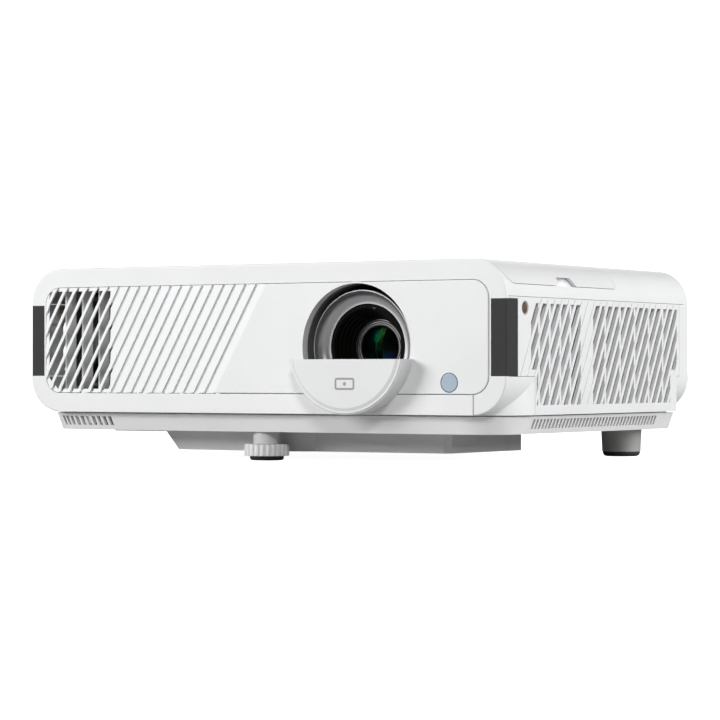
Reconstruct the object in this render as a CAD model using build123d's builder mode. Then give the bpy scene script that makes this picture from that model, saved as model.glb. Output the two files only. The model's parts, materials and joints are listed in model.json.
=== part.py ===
"""Home projector, modelled as the separate pieces it is assembled from.

Frame: +X to the right seen from the front, +Y towards the back, +Z up.
Origin: on the floor, under the middle of the whole object. Millimetres.
"""
from build123d import *
import os
from math import copysign, cos, pi, radians, sin, sqrt, tan

os.makedirs("parts", exist_ok=True)

# ---------------------------------------------------------------- driving sizes
WIDTH = 405.0                 # outside width of the case
DEPTH = 288.0                 # front face to rear face of the case
HOOD_DEPTH = 17.0             # how far the lens hood stands out in front
FRONT = -(DEPTH + HOOD_DEPTH) / 2 + HOOD_DEPTH
REAR = FRONT + DEPTH
CORNER_R = 26.0               # long edges of the case
WALL = 2.5

FLOOR_GAP = 20.5              # floor to the underside of the tray
CASE_BOTTOM = 33.6
CASE_TOP = 140.1
CASE_HEIGHT = CASE_TOP - CASE_BOTTOM
CASE_MID = (CASE_TOP + CASE_BOTTOM) / 2
TRAY_TOP = CASE_BOTTOM - 0.8  # leaves the shadow gap under the case
COVER_SEAM = 114.6            # top cover above, side panels below
STRIP_BOTTOM = 60.3
STRIP_TOP = 112.8
SEAM = 0.3                    # visible gap between two outer pieces

SKIRT_START = 41.0            # where the side skirts begin behind the front face
SKIRT_END = 268.0
SKIRT_R = 38.0                # plan radius of the skirt's front corners
SKIRT_INSET = 3.0             # skirt front behind the front face

SLANT = 30.0                  # lean of every rib and slot from upright
LEAN = tan(radians(SLANT))

PANEL_HALF = 188.9            # front panel, half its width
PANEL_BOTTOM = 48.0
PANEL_TOP = 125.7
PANEL_R = 12.5
PANEL_PROUD = 0.8             # panel face in front of the frame face
PANEL_BACK = 2.5
BAND_HALF = 177.0

LENS_X = 84.0
LENS_Z = 80.7
LENS_HOLE_R = 44.2
COLLAR_DEPTH = 5.6
HOOD_R = 47.0
HOOD_CHORD = 72.0             # flat top of the half-moon hood
IR_X = 158.6
IR_Z = 55.9
IR_R = 6.4

LID_FRONT = FRONT + 4.0
LID_REAR = FRONT + 169.0
LID_EDGE = 123.3              # lower edge of the lid on the rounded corner
LID_GAP = 0.4
LID_LEFT = 40.0               # seam between the lid and the top cover
HINGE_DROP = 4.2              # hinge axis under the top surface
HINGE_R = 6.4                 # rolled edge of the lid about the hinge axis
HINGE_X = LID_LEFT + sqrt(HINGE_R ** 2 - HINGE_DROP ** 2)
HINGE_Z = CASE_TOP - HINGE_DROP
HINGE_PIN_R = 1.3
HINGE_PIN_SEAT = 2.0          # length of pin held in the frame and in the cover

SHIFT_TRAVEL = 3.0            # lens moves this far up and down
RUN = 0.05                    # radial running clearance

# ---------------------------------------------------------------- shared planes
LENS_PLANE = Plane(origin=(LENS_X, FRONT, LENS_Z), x_dir=(1, 0, 0), z_dir=(0, 0, 1))
LENS_AXIS = Axis((LENS_X, FRONT, LENS_Z), (0, 1, 0))


def upright(y):
    """Plane facing the front at depth y: local x is X and local y is Z."""
    return Plane(origin=(0, y, 0), x_dir=(1, 0, 0), z_dir=(0, -1, 0))


def block(x0, x1, y0, y1, z0, z1, mode=Mode.ADD):
    """Box between two corners, in the part being built."""
    with BuildSketch(Plane.XY.offset(z0)) as base:
        with Locations(((x0 + x1) / 2, (y0 + y1) / 2)):
            Rectangle(abs(x1 - x0), y1 - y0)
    extrude(base.sketch, amount=z1 - z0, mode=mode)


def post(x, y, r, z0, z1, mode=Mode.ADD):
    """Upright cylinder."""
    with BuildSketch(Plane.XY.offset(z0)) as disc:
        with Locations((x, y)):
            Circle(r)
    extrude(disc.sketch, amount=z1 - z0, mode=mode)


def rod_y(x, z, r, y0, y1, mode=Mode.ADD):
    """Cylinder along Y."""
    with BuildSketch(upright(y0)) as disc:
        with Locations((x, z)):
            Circle(r)
    extrude(disc.sketch, amount=-(y1 - y0), mode=mode)


def rod_x(y, z, r, x0, x1, mode=Mode.ADD):
    """Cylinder along X."""
    with BuildSketch(Plane.YZ.offset(x0)) as disc:
        with Locations((y, z)):
            Circle(r)
    extrude(disc.sketch, amount=x1 - x0, mode=mode)


def turned(*points, mode=Mode.ADD):
    """Ring turned about the lens axis from (radius, depth behind the front) points."""
    with BuildSketch(LENS_PLANE) as half_section:
        with BuildLine():
            Polyline(*points, close=True)
        make_face()
    revolve(half_section.sketch, axis=LENS_AXIS, mode=mode)


def case_section(inset):
    """Rounded section of the case, moved inwards by inset."""
    with Locations((0, CASE_MID)):
        RectangleRounded(WIDTH - 2 * inset, CASE_HEIGHT - 2 * inset, CORNER_R - inset)


def skirt_plan(inset, front=SKIRT_INSET, rear=SKIRT_END, radius=SKIRT_R):
    """Plan of the squared lower body: round front corners, straight sides."""
    half = WIDTH / 2 - inset
    y0 = FRONT + front + inset
    y1 = FRONT + rear - inset
    r = radius - inset
    with BuildLine() as outline:
        Line((-half + r, y0), (half - r, y0))
        RadiusArc((half - r, y0), (half, y0 + r), -r)
        Line((half, y0 + r), (half, y1))
        Line((half, y1), (-half, y1))
        Line((-half, y1), (-half, y0 + r))
        RadiusArc((-half, y0 + r), (-half + r, y0), -r)
    make_face(outline.edges())


def slanted_bar(x, z0, z1, width, lean=LEAN):
    """Leaning strip whose lower left corner is at (x, z0)."""
    shift = (z1 - z0) * lean
    with BuildLine() as outline:
        Polyline((x, z0), (x + width, z0), (x + width + shift, z1), (x + shift, z1), close=True)
    make_face(outline.edges())


def save(builder, name):
    """Name the finished piece and write its STEP file."""
    builder.part.label = name
    export_step(builder.part, f"parts/{name}.step")


# ---------------------------------------------------------------- case envelope
def case_solid(inset):
    """Whole outer form of the case moved inwards by inset, open-ended."""
    with BuildPart() as form:
        with BuildSketch(upright(FRONT)):
            case_section(inset)
        extrude(amount=-DEPTH)
        with BuildSketch(Plane.XY.offset(CASE_BOTTOM)):
            skirt_plan(inset)
        extrude(amount=STRIP_BOTTOM - CASE_BOTTOM)
    return form.part


outer_form = case_solid(0)
inner_form = case_solid(WALL)

with BuildPart() as case_shell:
    add(outer_form)
    add(inner_form, mode=Mode.SUBTRACT)
    block(-WIDTH / 2 + CORNER_R, WIDTH / 2 - CORNER_R, FRONT - 1, FRONT + SKIRT_INSET + WALL + 1,
          CASE_BOTTOM - 1, CASE_BOTTOM + WALL + 1, Mode.SUBTRACT)

# ---------------------------------------------------------------- front frame
FRAME_BACK = 3.5
STRIP_INNER = 190.5           # inner edge of the dark corner strips
STRIP_WRAP = 16.0             # how far they run back along the sides
STRIP_THICK = 2.0

with BuildPart() as front_frame:
    with BuildSketch(upright(FRONT)):
        case_section(0)
    extrude(amount=-FRAME_BACK)
    fillet(front_frame.faces().sort_by(Axis.Y)[0].edges(), 1.2)
    with BuildSketch(upright(FRONT - 1)):
        with Locations((0, (PANEL_BOTTOM + PANEL_TOP) / 2)):
            RectangleRounded(2 * PANEL_HALF + 1.0, PANEL_TOP - PANEL_BOTTOM + 0.7, PANEL_R + 0.5)
        with Locations((0, (CASE_BOTTOM + PANEL_BOTTOM) / 2)):
            Rectangle(2 * BAND_HALF + 0.6, PANEL_BOTTOM - CASE_BOTTOM + 2)
    extrude(amount=-(FRAME_BACK + 2), mode=Mode.SUBTRACT)
    rod_y(HINGE_X, HINGE_Z, HINGE_PIN_R, FRONT + FRAME_BACK - HINGE_PIN_SEAT - 0.3, FRONT + FRAME_BACK,
          Mode.SUBTRACT)
    for side in (-1, 1):
        x_strip = side * (WIDTH / 2 - STRIP_THICK)
        x_flange = side * (WIDTH / 2 - STRIP_THICK - 4)
        x_clear = side * (WIDTH / 2 + 5)
        block(side * STRIP_INNER, x_clear, FRONT - 1, FRONT + STRIP_THICK,
              STRIP_BOTTOM, STRIP_TOP, Mode.SUBTRACT)
        block(x_strip, x_clear, FRONT - 1, FRONT + FRAME_BACK + 1,
              STRIP_BOTTOM, STRIP_TOP, Mode.SUBTRACT)
        block(x_strip, x_flange, FRONT + STRIP_THICK, FRONT + STRIP_WRAP,
              STRIP_BOTTOM, STRIP_TOP)

with BuildPart() as frame_corners:
    add(case_shell.part)
    with BuildSketch(Plane.XY.offset(CASE_BOTTOM)):
        with Locations((-190, FRONT + 22), (190, FRONT + 22)):
            Rectangle(2 * (190 - BAND_HALF - 0.3), 2 * (22 - FRAME_BACK))
    extrude(amount=STRIP_BOTTOM - CASE_BOTTOM - SEAM, mode=Mode.INTERSECT)

with BuildPart() as front_frame_whole:
    add(front_frame.part)
    add(frame_corners.part)
save(front_frame_whole, "front_frame")

# ---------------------------------------------------------------- dark corner strips
with BuildPart() as corner_trims:
    for side in (-1, 1):
        with BuildSketch(Plane.XY.offset(STRIP_BOTTOM)):
            with BuildLine():
                outer_x = side * WIDTH / 2
                inner_x = side * (WIDTH / 2 - STRIP_THICK)
                Polyline((side * STRIP_INNER, FRONT), (outer_x - side * 0.8, FRONT),
                         (outer_x, FRONT + 0.8), (outer_x, FRONT + STRIP_WRAP),
                         (inner_x, FRONT + STRIP_WRAP), (inner_x, FRONT + STRIP_THICK),
                         (side * STRIP_INNER, FRONT + STRIP_THICK), close=True)
            make_face()
        extrude(amount=STRIP_TOP - STRIP_BOTTOM)
save(corner_trims, "corner_trims")

# ---------------------------------------------------------------- front panel
RIB_PITCH = 9.34
RIB_DEPTH = 1.5
RIB_COUNT = 25
RIB_LAST = -45.4              # step of the rightmost rib at the panel's lower edge
GRILLE_LEFT = -186.0
GRILLE_RIGHT = -129.1
GRILLE_BOTTOM = 50.8
GRILLE_TOP = 123.0
GRILLE_SLOT = 6.4
GRILLE_DEPTH = 3.8            # slats reach this far behind the front face
VANE_XS = (-176.6, -161.0, -145.6)

with BuildPart() as front_panel:
    with BuildSketch(upright(FRONT - PANEL_PROUD)):
        with Locations((0, (PANEL_BOTTOM + PANEL_TOP) / 2)):
            RectangleRounded(2 * PANEL_HALF, PANEL_TOP - PANEL_BOTTOM, PANEL_R)
    extrude(amount=-(PANEL_PROUD + PANEL_BACK))
    fillet(front_panel.faces().sort_by(Axis.Y)[0].edges(), 0.7)
    with BuildSketch(Plane.XY.offset(PANEL_BOTTOM - 1)):
        with BuildLine():
            x_step = RIB_LAST + RIB_PITCH
            face_y = FRONT - PANEL_PROUD
            teeth = [(x_step, face_y - 2), (x_step, face_y)]
            for tooth in range(RIB_COUNT):
                x_step -= RIB_PITCH
                teeth.append((x_step, face_y + RIB_DEPTH))
                teeth.append((x_step, face_y))
            teeth.append((x_step, face_y - 2))
            Polyline(*teeth, close=True)
        make_face()
    extrude(amount=(PANEL_TOP - PANEL_BOTTOM + 2) / cos(radians(SLANT)),
            dir=(sin(radians(SLANT)), 0, cos(radians(SLANT))), mode=Mode.SUBTRACT)
    rod_y(LENS_X, LENS_Z, LENS_HOLE_R + 1.1, FRONT, FRONT + COLLAR_DEPTH)
    block(LENS_X - HOOD_R, LENS_X + HOOD_R, FRONT - 1, FRONT + COLLAR_DEPTH + 1,
          CASE_BOTTOM - 5, PANEL_BOTTOM, Mode.SUBTRACT)
    rod_y(LENS_X, LENS_Z, LENS_HOLE_R, FRONT - 3, FRONT + COLLAR_DEPTH + 1, Mode.SUBTRACT)
    rod_y(IR_X, IR_Z, IR_R + 0.15, FRONT - 3, FRONT + 5, Mode.SUBTRACT)
    for vane_x in VANE_XS:
        block(vane_x, vane_x + 1.4, FRONT + 0.5, FRONT + 19, GRILLE_BOTTOM - 1, GRILLE_TOP + 1)
    block(GRILLE_RIGHT, GRILLE_RIGHT + 1.4, FRONT + 1, FRONT + 19, GRILLE_BOTTOM - 1, GRILLE_TOP + 1)
    with BuildSketch(upright(FRONT + 0.5)) as grille_backing:
        with Locations(((GRILLE_LEFT + GRILLE_RIGHT) / 2, (GRILLE_BOTTOM + GRILLE_TOP) / 2)):
            RectangleRounded(GRILLE_RIGHT - GRILLE_LEFT + 2.8, GRILLE_TOP - GRILLE_BOTTOM + 3, 12)
    extrude(grille_backing.sketch, amount=-(GRILLE_DEPTH - 0.5))
    with BuildSketch(upright(FRONT - 3)):
        for slot in range(RIB_COUNT):
            slanted_bar(RIB_LAST - slot * RIB_PITCH + 0.05, PANEL_BOTTOM, PANEL_TOP, GRILLE_SLOT)
        with BuildLine():
            Polyline((GRILLE_RIGHT, GRILLE_TOP), (GRILLE_LEFT, GRILLE_TOP),
                     (GRILLE_LEFT, GRILLE_BOTTOM + 8), (GRILLE_LEFT + 8, GRILLE_BOTTOM),
                     (GRILLE_RIGHT, GRILLE_BOTTOM), close=True)
        make_face(mode=Mode.INTERSECT)
    extrude(amount=-(3 + GRILLE_DEPTH), mode=Mode.SUBTRACT)
save(front_panel, "front_panel")

# ---------------------------------------------------------------- lower front band
with BuildPart() as front_band:
    block(-BAND_HALF, BAND_HALF, FRONT - PANEL_PROUD, FRONT + PANEL_BACK,
          CASE_BOTTOM, PANEL_BOTTOM - 0.4)
    fillet(front_band.faces().sort_by(Axis.Y)[0].edges(), 0.5)
    rod_y(LENS_X, LENS_Z, LENS_HOLE_R, FRONT - 3, FRONT + 5, Mode.SUBTRACT)
save(front_band, "front_band")

# ---------------------------------------------------------------- half-moon hood
HOOD_FACE_R = 42.5
HOOD_CHAMFER = 2.0
HOOD_WALL = 2.5
HOOD_BACK = FRONT - PANEL_PROUD
HOOD_FRONT = FRONT - HOOD_DEPTH

with BuildPart() as half_moon_hood:
    with BuildSketch(LENS_PLANE):
        with BuildLine():
            Polyline((0, -HOOD_DEPTH), (HOOD_FACE_R, -HOOD_DEPTH),
                     (HOOD_R, -HOOD_DEPTH + HOOD_CHAMFER), (HOOD_R, -PANEL_PROUD),
                     (HOOD_R - HOOD_WALL, -PANEL_PROUD),
                     (HOOD_R - HOOD_WALL, -HOOD_DEPTH + HOOD_WALL + 1), (0, -HOOD_DEPTH + HOOD_WALL + 1),
                     close=True)
        make_face()
    revolve(axis=LENS_AXIS)
    rod_y(LENS_X, LENS_Z, HOOD_R - 1, HOOD_FRONT + 1, HOOD_BACK)
    rod_y(LENS_X, LENS_Z, HOOD_R - HOOD_WALL, HOOD_FRONT + HOOD_WALL, HOOD_BACK + 1, Mode.SUBTRACT)
    block(LENS_X - HOOD_R, LENS_X + HOOD_R, HOOD_FRONT + HOOD_WALL - 0.1, HOOD_BACK,
          HOOD_CHORD - HOOD_WALL, HOOD_CHORD)
    with BuildSketch(upright(HOOD_FRONT - 1)):
        with Locations((LENS_X, HOOD_CHORD - HOOD_R)):
            Rectangle(2 * HOOD_R + 2, 2 * HOOD_R)
    extrude(amount=-(HOOD_DEPTH + 2), mode=Mode.INTERSECT)
    with BuildSketch(LENS_PLANE):
        with Locations(((HOOD_R + 10) / 2, -HOOD_DEPTH / 2)):
            Rectangle(HOOD_R + 10, HOOD_DEPTH + 10)
        with Locations((HOOD_R / 2, -HOOD_DEPTH / 2)):
            Rectangle(HOOD_R, HOOD_DEPTH + 12, mode=Mode.SUBTRACT)
    revolve(axis=LENS_AXIS, mode=Mode.SUBTRACT)
save(half_moon_hood, "half_moon_hood")

# ---------------------------------------------------------------- infrared window
with BuildPart() as ir_window:
    rod_y(IR_X, IR_Z, IR_R, FRONT - PANEL_PROUD - 0.1, FRONT + PANEL_BACK)
    fillet(ir_window.faces().sort_by(Axis.Y)[0].edges(), 0.5)
    rod_y(IR_X, IR_Z, IR_R + 1.6, FRONT + PANEL_BACK, FRONT + PANEL_BACK + 1.5)
save(ir_window, "ir_window")

# ---------------------------------------------------------------- side panels
SLOT_PITCH = 10.12
SLOT_WIDTH = 6.4
SLOT_BOTTOM = 40.3
SLOT_TOP = 110.3
GROOVE_TOP = 113.3
GROOVE = 1.0
SLOT_FIRST = FRONT + 52.5 - 5 * SLOT_PITCH
SLOT_ROWS = 30
STEP_Z = 64.8                 # the slots stop higher beside the skirt's ends
WEB_ENDS = (49.1, 64.8, 80.5, 95.8, 150.4, 174.5, 198.4, 222.1, 246.2)
WEB_WIDTH = 2.6
WEB_RECESS = 0.6              # webs lie just under the outer surface
SCREW_Y = FRONT + 26.5
SCREW_Z = 106.8
SIDE_X = WIDTH / 2

with BuildPart() as side_panel_right:
    add(case_shell.part)
    with BuildSketch(Plane.YZ.offset(SIDE_X - 40)):
        with BuildLine():
            Polyline((FRONT + SKIRT_START, CASE_BOTTOM - 1), (FRONT + SKIRT_END, CASE_BOTTOM - 1),
                     (FRONT + SKIRT_END, STRIP_BOTTOM), (FRONT + 272.7, STRIP_BOTTOM),
                     (FRONT + 272.7, COVER_SEAM - SEAM), (FRONT + FRAME_BACK + 0.3, COVER_SEAM - SEAM),
                     (FRONT + FRAME_BACK + 0.3, STRIP_TOP + 0.2),
                     (FRONT + STRIP_WRAP + 0.2, STRIP_TOP + 0.2),
                     (FRONT + STRIP_WRAP + 0.2, STRIP_BOTTOM), (FRONT + SKIRT_START, STRIP_BOTTOM),
                     close=True)
        make_face()
    extrude(amount=50, mode=Mode.INTERSECT)
    block(SIDE_X - WALL - 2, SIDE_X - WALL + 0.1, SCREW_Y - 7, SCREW_Y + 7, SCREW_Z - 7, SCREW_Z + 6.5)
    with BuildSketch(Plane.YZ.offset(SIDE_X - 0.5)):
        for row in range(SLOT_ROWS):
            slanted_bar(SLOT_FIRST + row * SLOT_PITCH + SLOT_WIDTH - GROOVE,
                        SLOT_BOTTOM, GROOVE_TOP, GROOVE)
        with BuildLine():
            Polyline((FRONT + 18, STRIP_BOTTOM), (FRONT + 42, STRIP_BOTTOM),
                     (FRONT + 42, SLOT_BOTTOM), (FRONT + 257, SLOT_BOTTOM),
                     (FRONT + 257, STRIP_BOTTOM + 1), (FRONT + 271, STRIP_BOTTOM + 1),
                     (FRONT + 271, GROOVE_TOP), (FRONT + 36, GROOVE_TOP),
                     (FRONT + 36, SCREW_Z - 6.5), (FRONT + 18, SCREW_Z - 6.5), close=True)
        make_face(mode=Mode.INTERSECT)
    extrude(amount=2, mode=Mode.SUBTRACT)
    with BuildSketch(Plane.YZ.offset(SIDE_X - WALL - 0.5)):
        for row in range(SLOT_ROWS):
            slanted_bar(SLOT_FIRST + row * SLOT_PITCH, SLOT_BOTTOM, SLOT_TOP, SLOT_WIDTH)
        with BuildLine():
            Polyline((FRONT + 35, STEP_Z), (FRONT + 43, STEP_Z), (FRONT + 43, SLOT_BOTTOM),
                     (FRONT + 257, SLOT_BOTTOM), (FRONT + 257, STEP_Z),
                     (FRONT + 268.5, STEP_Z), (FRONT + 268.5, SLOT_TOP),
                     (FRONT + 35, SLOT_TOP), close=True)
        make_face(mode=Mode.INTERSECT)
        with Locations((FRONT + 119, (SLOT_BOTTOM + SLOT_TOP) / 2)):
            Rectangle(19.4, SLOT_TOP - SLOT_BOTTOM + 2, mode=Mode.SUBTRACT)
    extrude(amount=WALL + 1, mode=Mode.SUBTRACT)
    for web_end in WEB_ENDS:
        block(SIDE_X - 9, SIDE_X - WEB_RECESS, FRONT + web_end - WEB_WIDTH, FRONT + web_end,
              SLOT_BOTTOM - 1, SLOT_TOP + 1)
    rod_x(SCREW_Y, SCREW_Z, 4.8, SIDE_X - WALL, SIDE_X + 1, Mode.SUBTRACT)
    rod_x(SCREW_Y, SCREW_Z, 1.7, SIDE_X - WALL - 3, SIDE_X + 1, Mode.SUBTRACT)
save(side_panel_right, "side_panel_right")

with BuildPart() as side_panel_left:
    mirror(side_panel_right.part, about=Plane.YZ)
save(side_panel_left, "side_panel_left")

with BuildPart() as side_screws:
    for side in (-1, 1):
        seat_x = side * (SIDE_X - WALL)
        with BuildSketch(Plane.YZ.offset(seat_x)):
            with Locations((SCREW_Y, SCREW_Z)):
                Circle(3.9)
        extrude(amount=side * 2.0)
        with BuildSketch(Plane.YZ.offset(seat_x)):
            with Locations((SCREW_Y, SCREW_Z)):
                Circle(1.5)
        extrude(amount=-side * 8)
        with BuildSketch(Plane.YZ.offset(seat_x + side * 1.0)):
            with Locations((SCREW_Y, SCREW_Z)):
                Rectangle(3.8, 0.9)
                Rectangle(0.9, 3.8)
        extrude(amount=side * 2, mode=Mode.SUBTRACT)
save(side_screws, "side_screws")

# ---------------------------------------------------------------- control lid
LID_FRONT_R = 12.0            # rounding of the lid's lower front corner
LID_REAR_R = 4.0
LID_SKIN_GAP = 0.4            # under the lid skin, above the control deck
DECK_THICK = 2.0
DRUM_GAP = 0.4
DRUM_WALL = 1.6


def lid_region(grow, front_grow):
    """Block that cuts the lid's outline out of the case, grown by a gap."""
    y0 = LID_FRONT - front_grow
    y1 = LID_REAR + grow
    z0 = LID_EDGE - grow
    r0 = LID_FRONT_R + grow
    r1 = LID_REAR_R + grow
    with BuildPart() as region:
        with BuildSketch(Plane.YZ.offset(LID_LEFT - grow)):
            with BuildLine():
                Polyline((y0, z0 + r0), (y0, CASE_TOP + 5), (y1, CASE_TOP + 5), (y1, z0 + r1))
                RadiusArc((y1, z0 + r1), (y1 - r1, z0), r1)
                Line((y1 - r1, z0), (y0 + r0, z0))
                RadiusArc((y0 + r0, z0), (y0, z0 + r0), r0)
            make_face()
        extrude(amount=WIDTH)
    return region.part


def hinge_drum(radius, y0, y1):
    """Cylinder about the hinge axis, kept inside the case's outer form."""
    with BuildPart() as drum:
        rod_y(HINGE_X, HINGE_Z, radius, y0, y1)
        add(outer_form, mode=Mode.INTERSECT)
    return drum.part


with BuildPart() as control_lid:
    add(outer_form)
    add(inner_form, mode=Mode.SUBTRACT)
    add(lid_region(0, 0), mode=Mode.INTERSECT)
    add(hinge_drum(HINGE_R, LID_FRONT, LID_REAR))
    rod_y(HINGE_X, HINGE_Z, HINGE_PIN_R + RUN, LID_FRONT - 1, LID_REAR + 1, Mode.SUBTRACT)
    with BuildSketch(Plane.YZ.offset(SIDE_X - 14)):
        with BuildLine():
            Polyline((FRONT + 78, LID_EDGE - 1), (FRONT + 78, LID_EDGE), (FRONT + 81, LID_EDGE + 6),
                     (FRONT + 101, LID_EDGE + 6), (FRONT + 106, LID_EDGE), (FRONT + 106, LID_EDGE - 1),
                     close=True)
        make_face()
    extrude(amount=20, mode=Mode.SUBTRACT)
save(control_lid, "control_lid")

with BuildPart() as lid_hinge_pin:
    rod_y(HINGE_X, HINGE_Z, HINGE_PIN_R, FRONT + FRAME_BACK - HINGE_PIN_SEAT, LID_REAR + HINGE_PIN_SEAT)
save(lid_hinge_pin, "lid_hinge_pin")

# ---------------------------------------------------------------- top cover
BAY_X0 = 56.0                 # control bay under the lid
BAY_X1 = 172.0
BAY_Y0 = FRONT + 36.0
BAY_Y1 = FRONT + 157.5
BAY_FLOOR = 124.0
ZOOM_Y = FRONT + 66.0         # middle of the zoom ring
FOCUS_Y = FRONT + 48.0        # middle of the focus ring
DIAL_X = 142.0
DIAL_Y = FRONT + 78.0
DIAL_SHAFT_R = 2.5

KEY_X = -95.0                 # middle of the keypad
KEY_Y = 85.0
KEYPAD_LONG = 108.0
KEYPAD_WIDE = 50.0
KEYPAD_RECESS = 1.2
POWER_X = KEY_X - 38
MENU_X = KEY_X - 14
NAV_X = KEY_X + 25
ARROW_OFFSET = 14.5
KEY_GAP = 0.3

KEYS = {
    "power_button": (POWER_X, KEY_Y, 13.0, 13.0),
    "menu_button": (MENU_X, KEY_Y, 14.0, 7.0),
    "ok_button": (NAV_X, KEY_Y, 12.0, 12.0),
    "up_button": (NAV_X, KEY_Y + ARROW_OFFSET, 13.0, 6.5),
    "down_button": (NAV_X, KEY_Y - ARROW_OFFSET, 13.0, 6.5),
    "left_button": (NAV_X - ARROW_OFFSET, KEY_Y, 6.5, 13.0),
    "right_button": (NAV_X + ARROW_OFFSET, KEY_Y, 6.5, 13.0),
}
LIGHT_XS = (POWER_X - 6, POWER_X, POWER_X + 6)
LIGHT_Y = KEY_Y - 16


def key_prism(x, y, long_x, long_y, grow, z0, z1, mode=Mode.ADD):
    """Round-ended key outline, grown all round, between two heights."""
    radius = min(long_x, long_y) / 2 + grow - 0.01
    with BuildSketch(Plane.XY.offset(z0)) as outline:
        with Locations((x, y)):
            RectangleRounded(long_x + 2 * grow, long_y + 2 * grow, radius)
    extrude(outline.sketch, amount=z1 - z0, mode=mode)


with BuildPart() as control_deck:
    add(inner_form)
    add(case_solid(WALL + LID_SKIN_GAP + DECK_THICK), mode=Mode.SUBTRACT)
    add(lid_region(3.0, 0.5), mode=Mode.INTERSECT)

with BuildPart() as scoop_boss:
    block(SIDE_X - 20, SIDE_X, FRONT + 72, FRONT + 112, CASE_TOP - 22, CASE_TOP - 7)
    add(case_solid(WALL + LID_SKIN_GAP), mode=Mode.INTERSECT)

with BuildPart() as finger_scoop:
    with Locations((SIDE_X + 5.5, FRONT + 92, LID_EDGE + 5)):
        Sphere(16)
    block(SIDE_X - 20, SIDE_X + 30, FRONT + 70, FRONT + 115, 0, LID_EDGE, Mode.SUBTRACT)

with BuildPart() as lid_pocket:
    add(lid_region(LID_GAP, LID_GAP + 0.2))
    add(case_solid(WALL + LID_SKIN_GAP), mode=Mode.SUBTRACT)

with BuildPart() as top_cover:
    add(case_shell.part)
    block(-SIDE_X - 1, SIDE_X + 1, FRONT + FRAME_BACK, REAR, COVER_SEAM, CASE_TOP + 1, Mode.INTERSECT)
    add(control_deck.part)
    add(scoop_boss.part)
    add(hinge_drum(HINGE_R + DRUM_GAP + DRUM_WALL, FRONT + FRAME_BACK,
                   LID_REAR + HINGE_PIN_SEAT + DRUM_WALL))
    block(BAY_X0 - 2, BAY_X1 + 2, BAY_Y0 - 2, BAY_Y1 + 2, BAY_FLOOR - 2, HINGE_Z + 0.5)
    block(BAY_X0, BAY_X1, BAY_Y0, BAY_Y1, BAY_FLOOR, CASE_TOP + 1, Mode.SUBTRACT)
    add(lid_pocket.part, mode=Mode.SUBTRACT)
    add(hinge_drum(HINGE_R + DRUM_GAP, FRONT, LID_REAR + LID_GAP), mode=Mode.SUBTRACT)
    rod_y(HINGE_X, HINGE_Z, HINGE_PIN_R, FRONT, LID_REAR + HINGE_PIN_SEAT + 0.3, Mode.SUBTRACT)
    add(finger_scoop.part, mode=Mode.SUBTRACT)
    block(LENS_X - 17, LENS_X + 17, ZOOM_Y - 3, ZOOM_Y + 3, BAY_FLOOR - 3, BAY_FLOOR + 1, Mode.SUBTRACT)
    block(BAY_X0, LENS_X + 28, FOCUS_Y - 3, FOCUS_Y + 3, BAY_FLOOR - 3, BAY_FLOOR + 1, Mode.SUBTRACT)
    post(DIAL_X, DIAL_Y, DIAL_SHAFT_R + RUN, BAY_FLOOR - 3, BAY_FLOOR + 1, Mode.SUBTRACT)
    with BuildSketch(Plane.XY.offset(CASE_TOP - KEYPAD_RECESS)):
        with Locations((KEY_X, KEY_Y)):
            RectangleRounded(KEYPAD_LONG + 0.6, KEYPAD_WIDE + 0.6, 10.3)
    extrude(amount=KEYPAD_RECESS + 1, mode=Mode.SUBTRACT)
    for key in KEYS.values():
        key_prism(*key, KEY_GAP, CASE_TOP - 5, CASE_TOP + 1, Mode.SUBTRACT)
    for light_x in LIGHT_XS:
        post(light_x, LIGHT_Y, 1.2, CASE_TOP - 5, CASE_TOP, Mode.SUBTRACT)
    for corner_x in (-47, 47):
        for corner_y in (-20, 20):
            post(KEY_X + corner_x, KEY_Y + corner_y, 3, CASE_TOP - 7.7, CASE_TOP - WALL + 0.1)
save(top_cover, "top_cover")

# ---------------------------------------------------------------- keypad
KEY_TRAVEL = 0.8
BOARD_TOP = CASE_TOP - 7.7

with BuildPart() as keypad_plate:
    with BuildSketch(Plane.XY.offset(CASE_TOP - KEYPAD_RECESS)):
        with Locations((KEY_X, KEY_Y)):
            RectangleRounded(KEYPAD_LONG, KEYPAD_WIDE, 10)
    extrude(amount=1.0)
    for key in KEYS.values():
        key_prism(*key, KEY_GAP, CASE_TOP - 3, CASE_TOP + 1, Mode.SUBTRACT)
    for light_x in LIGHT_XS:
        post(light_x, LIGHT_Y, 1.2, CASE_TOP - 3, CASE_TOP + 1, Mode.SUBTRACT)
save(keypad_plate, "keypad_plate")

for key_name, key in KEYS.items():
    with BuildPart() as key_cap:
        key_prism(*key, 0, CASE_TOP - WALL - 0.4, CASE_TOP - 0.1)
        fillet(key_cap.faces().sort_by(Axis.Z)[-1].edges(), 0.6)
        key_prism(*key, 1.2, CASE_TOP - WALL - 1.4, CASE_TOP - WALL - 0.4)
        post(key[0], key[1], 1.8, BOARD_TOP + KEY_TRAVEL + 0.1, CASE_TOP - WALL - 1.4)
    save(key_cap, key_name)

with BuildPart() as status_lights:
    for light_x in LIGHT_XS:
        post(light_x, LIGHT_Y, 1.2, BOARD_TOP, CASE_TOP - 0.2)
save(status_lights, "status_lights")

with BuildPart() as button_board:
    block(KEY_X - 50, KEY_X + 50, KEY_Y - 22, KEY_Y + 22, BOARD_TOP - 1.6, BOARD_TOP)
save(button_board, "button_board")

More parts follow.
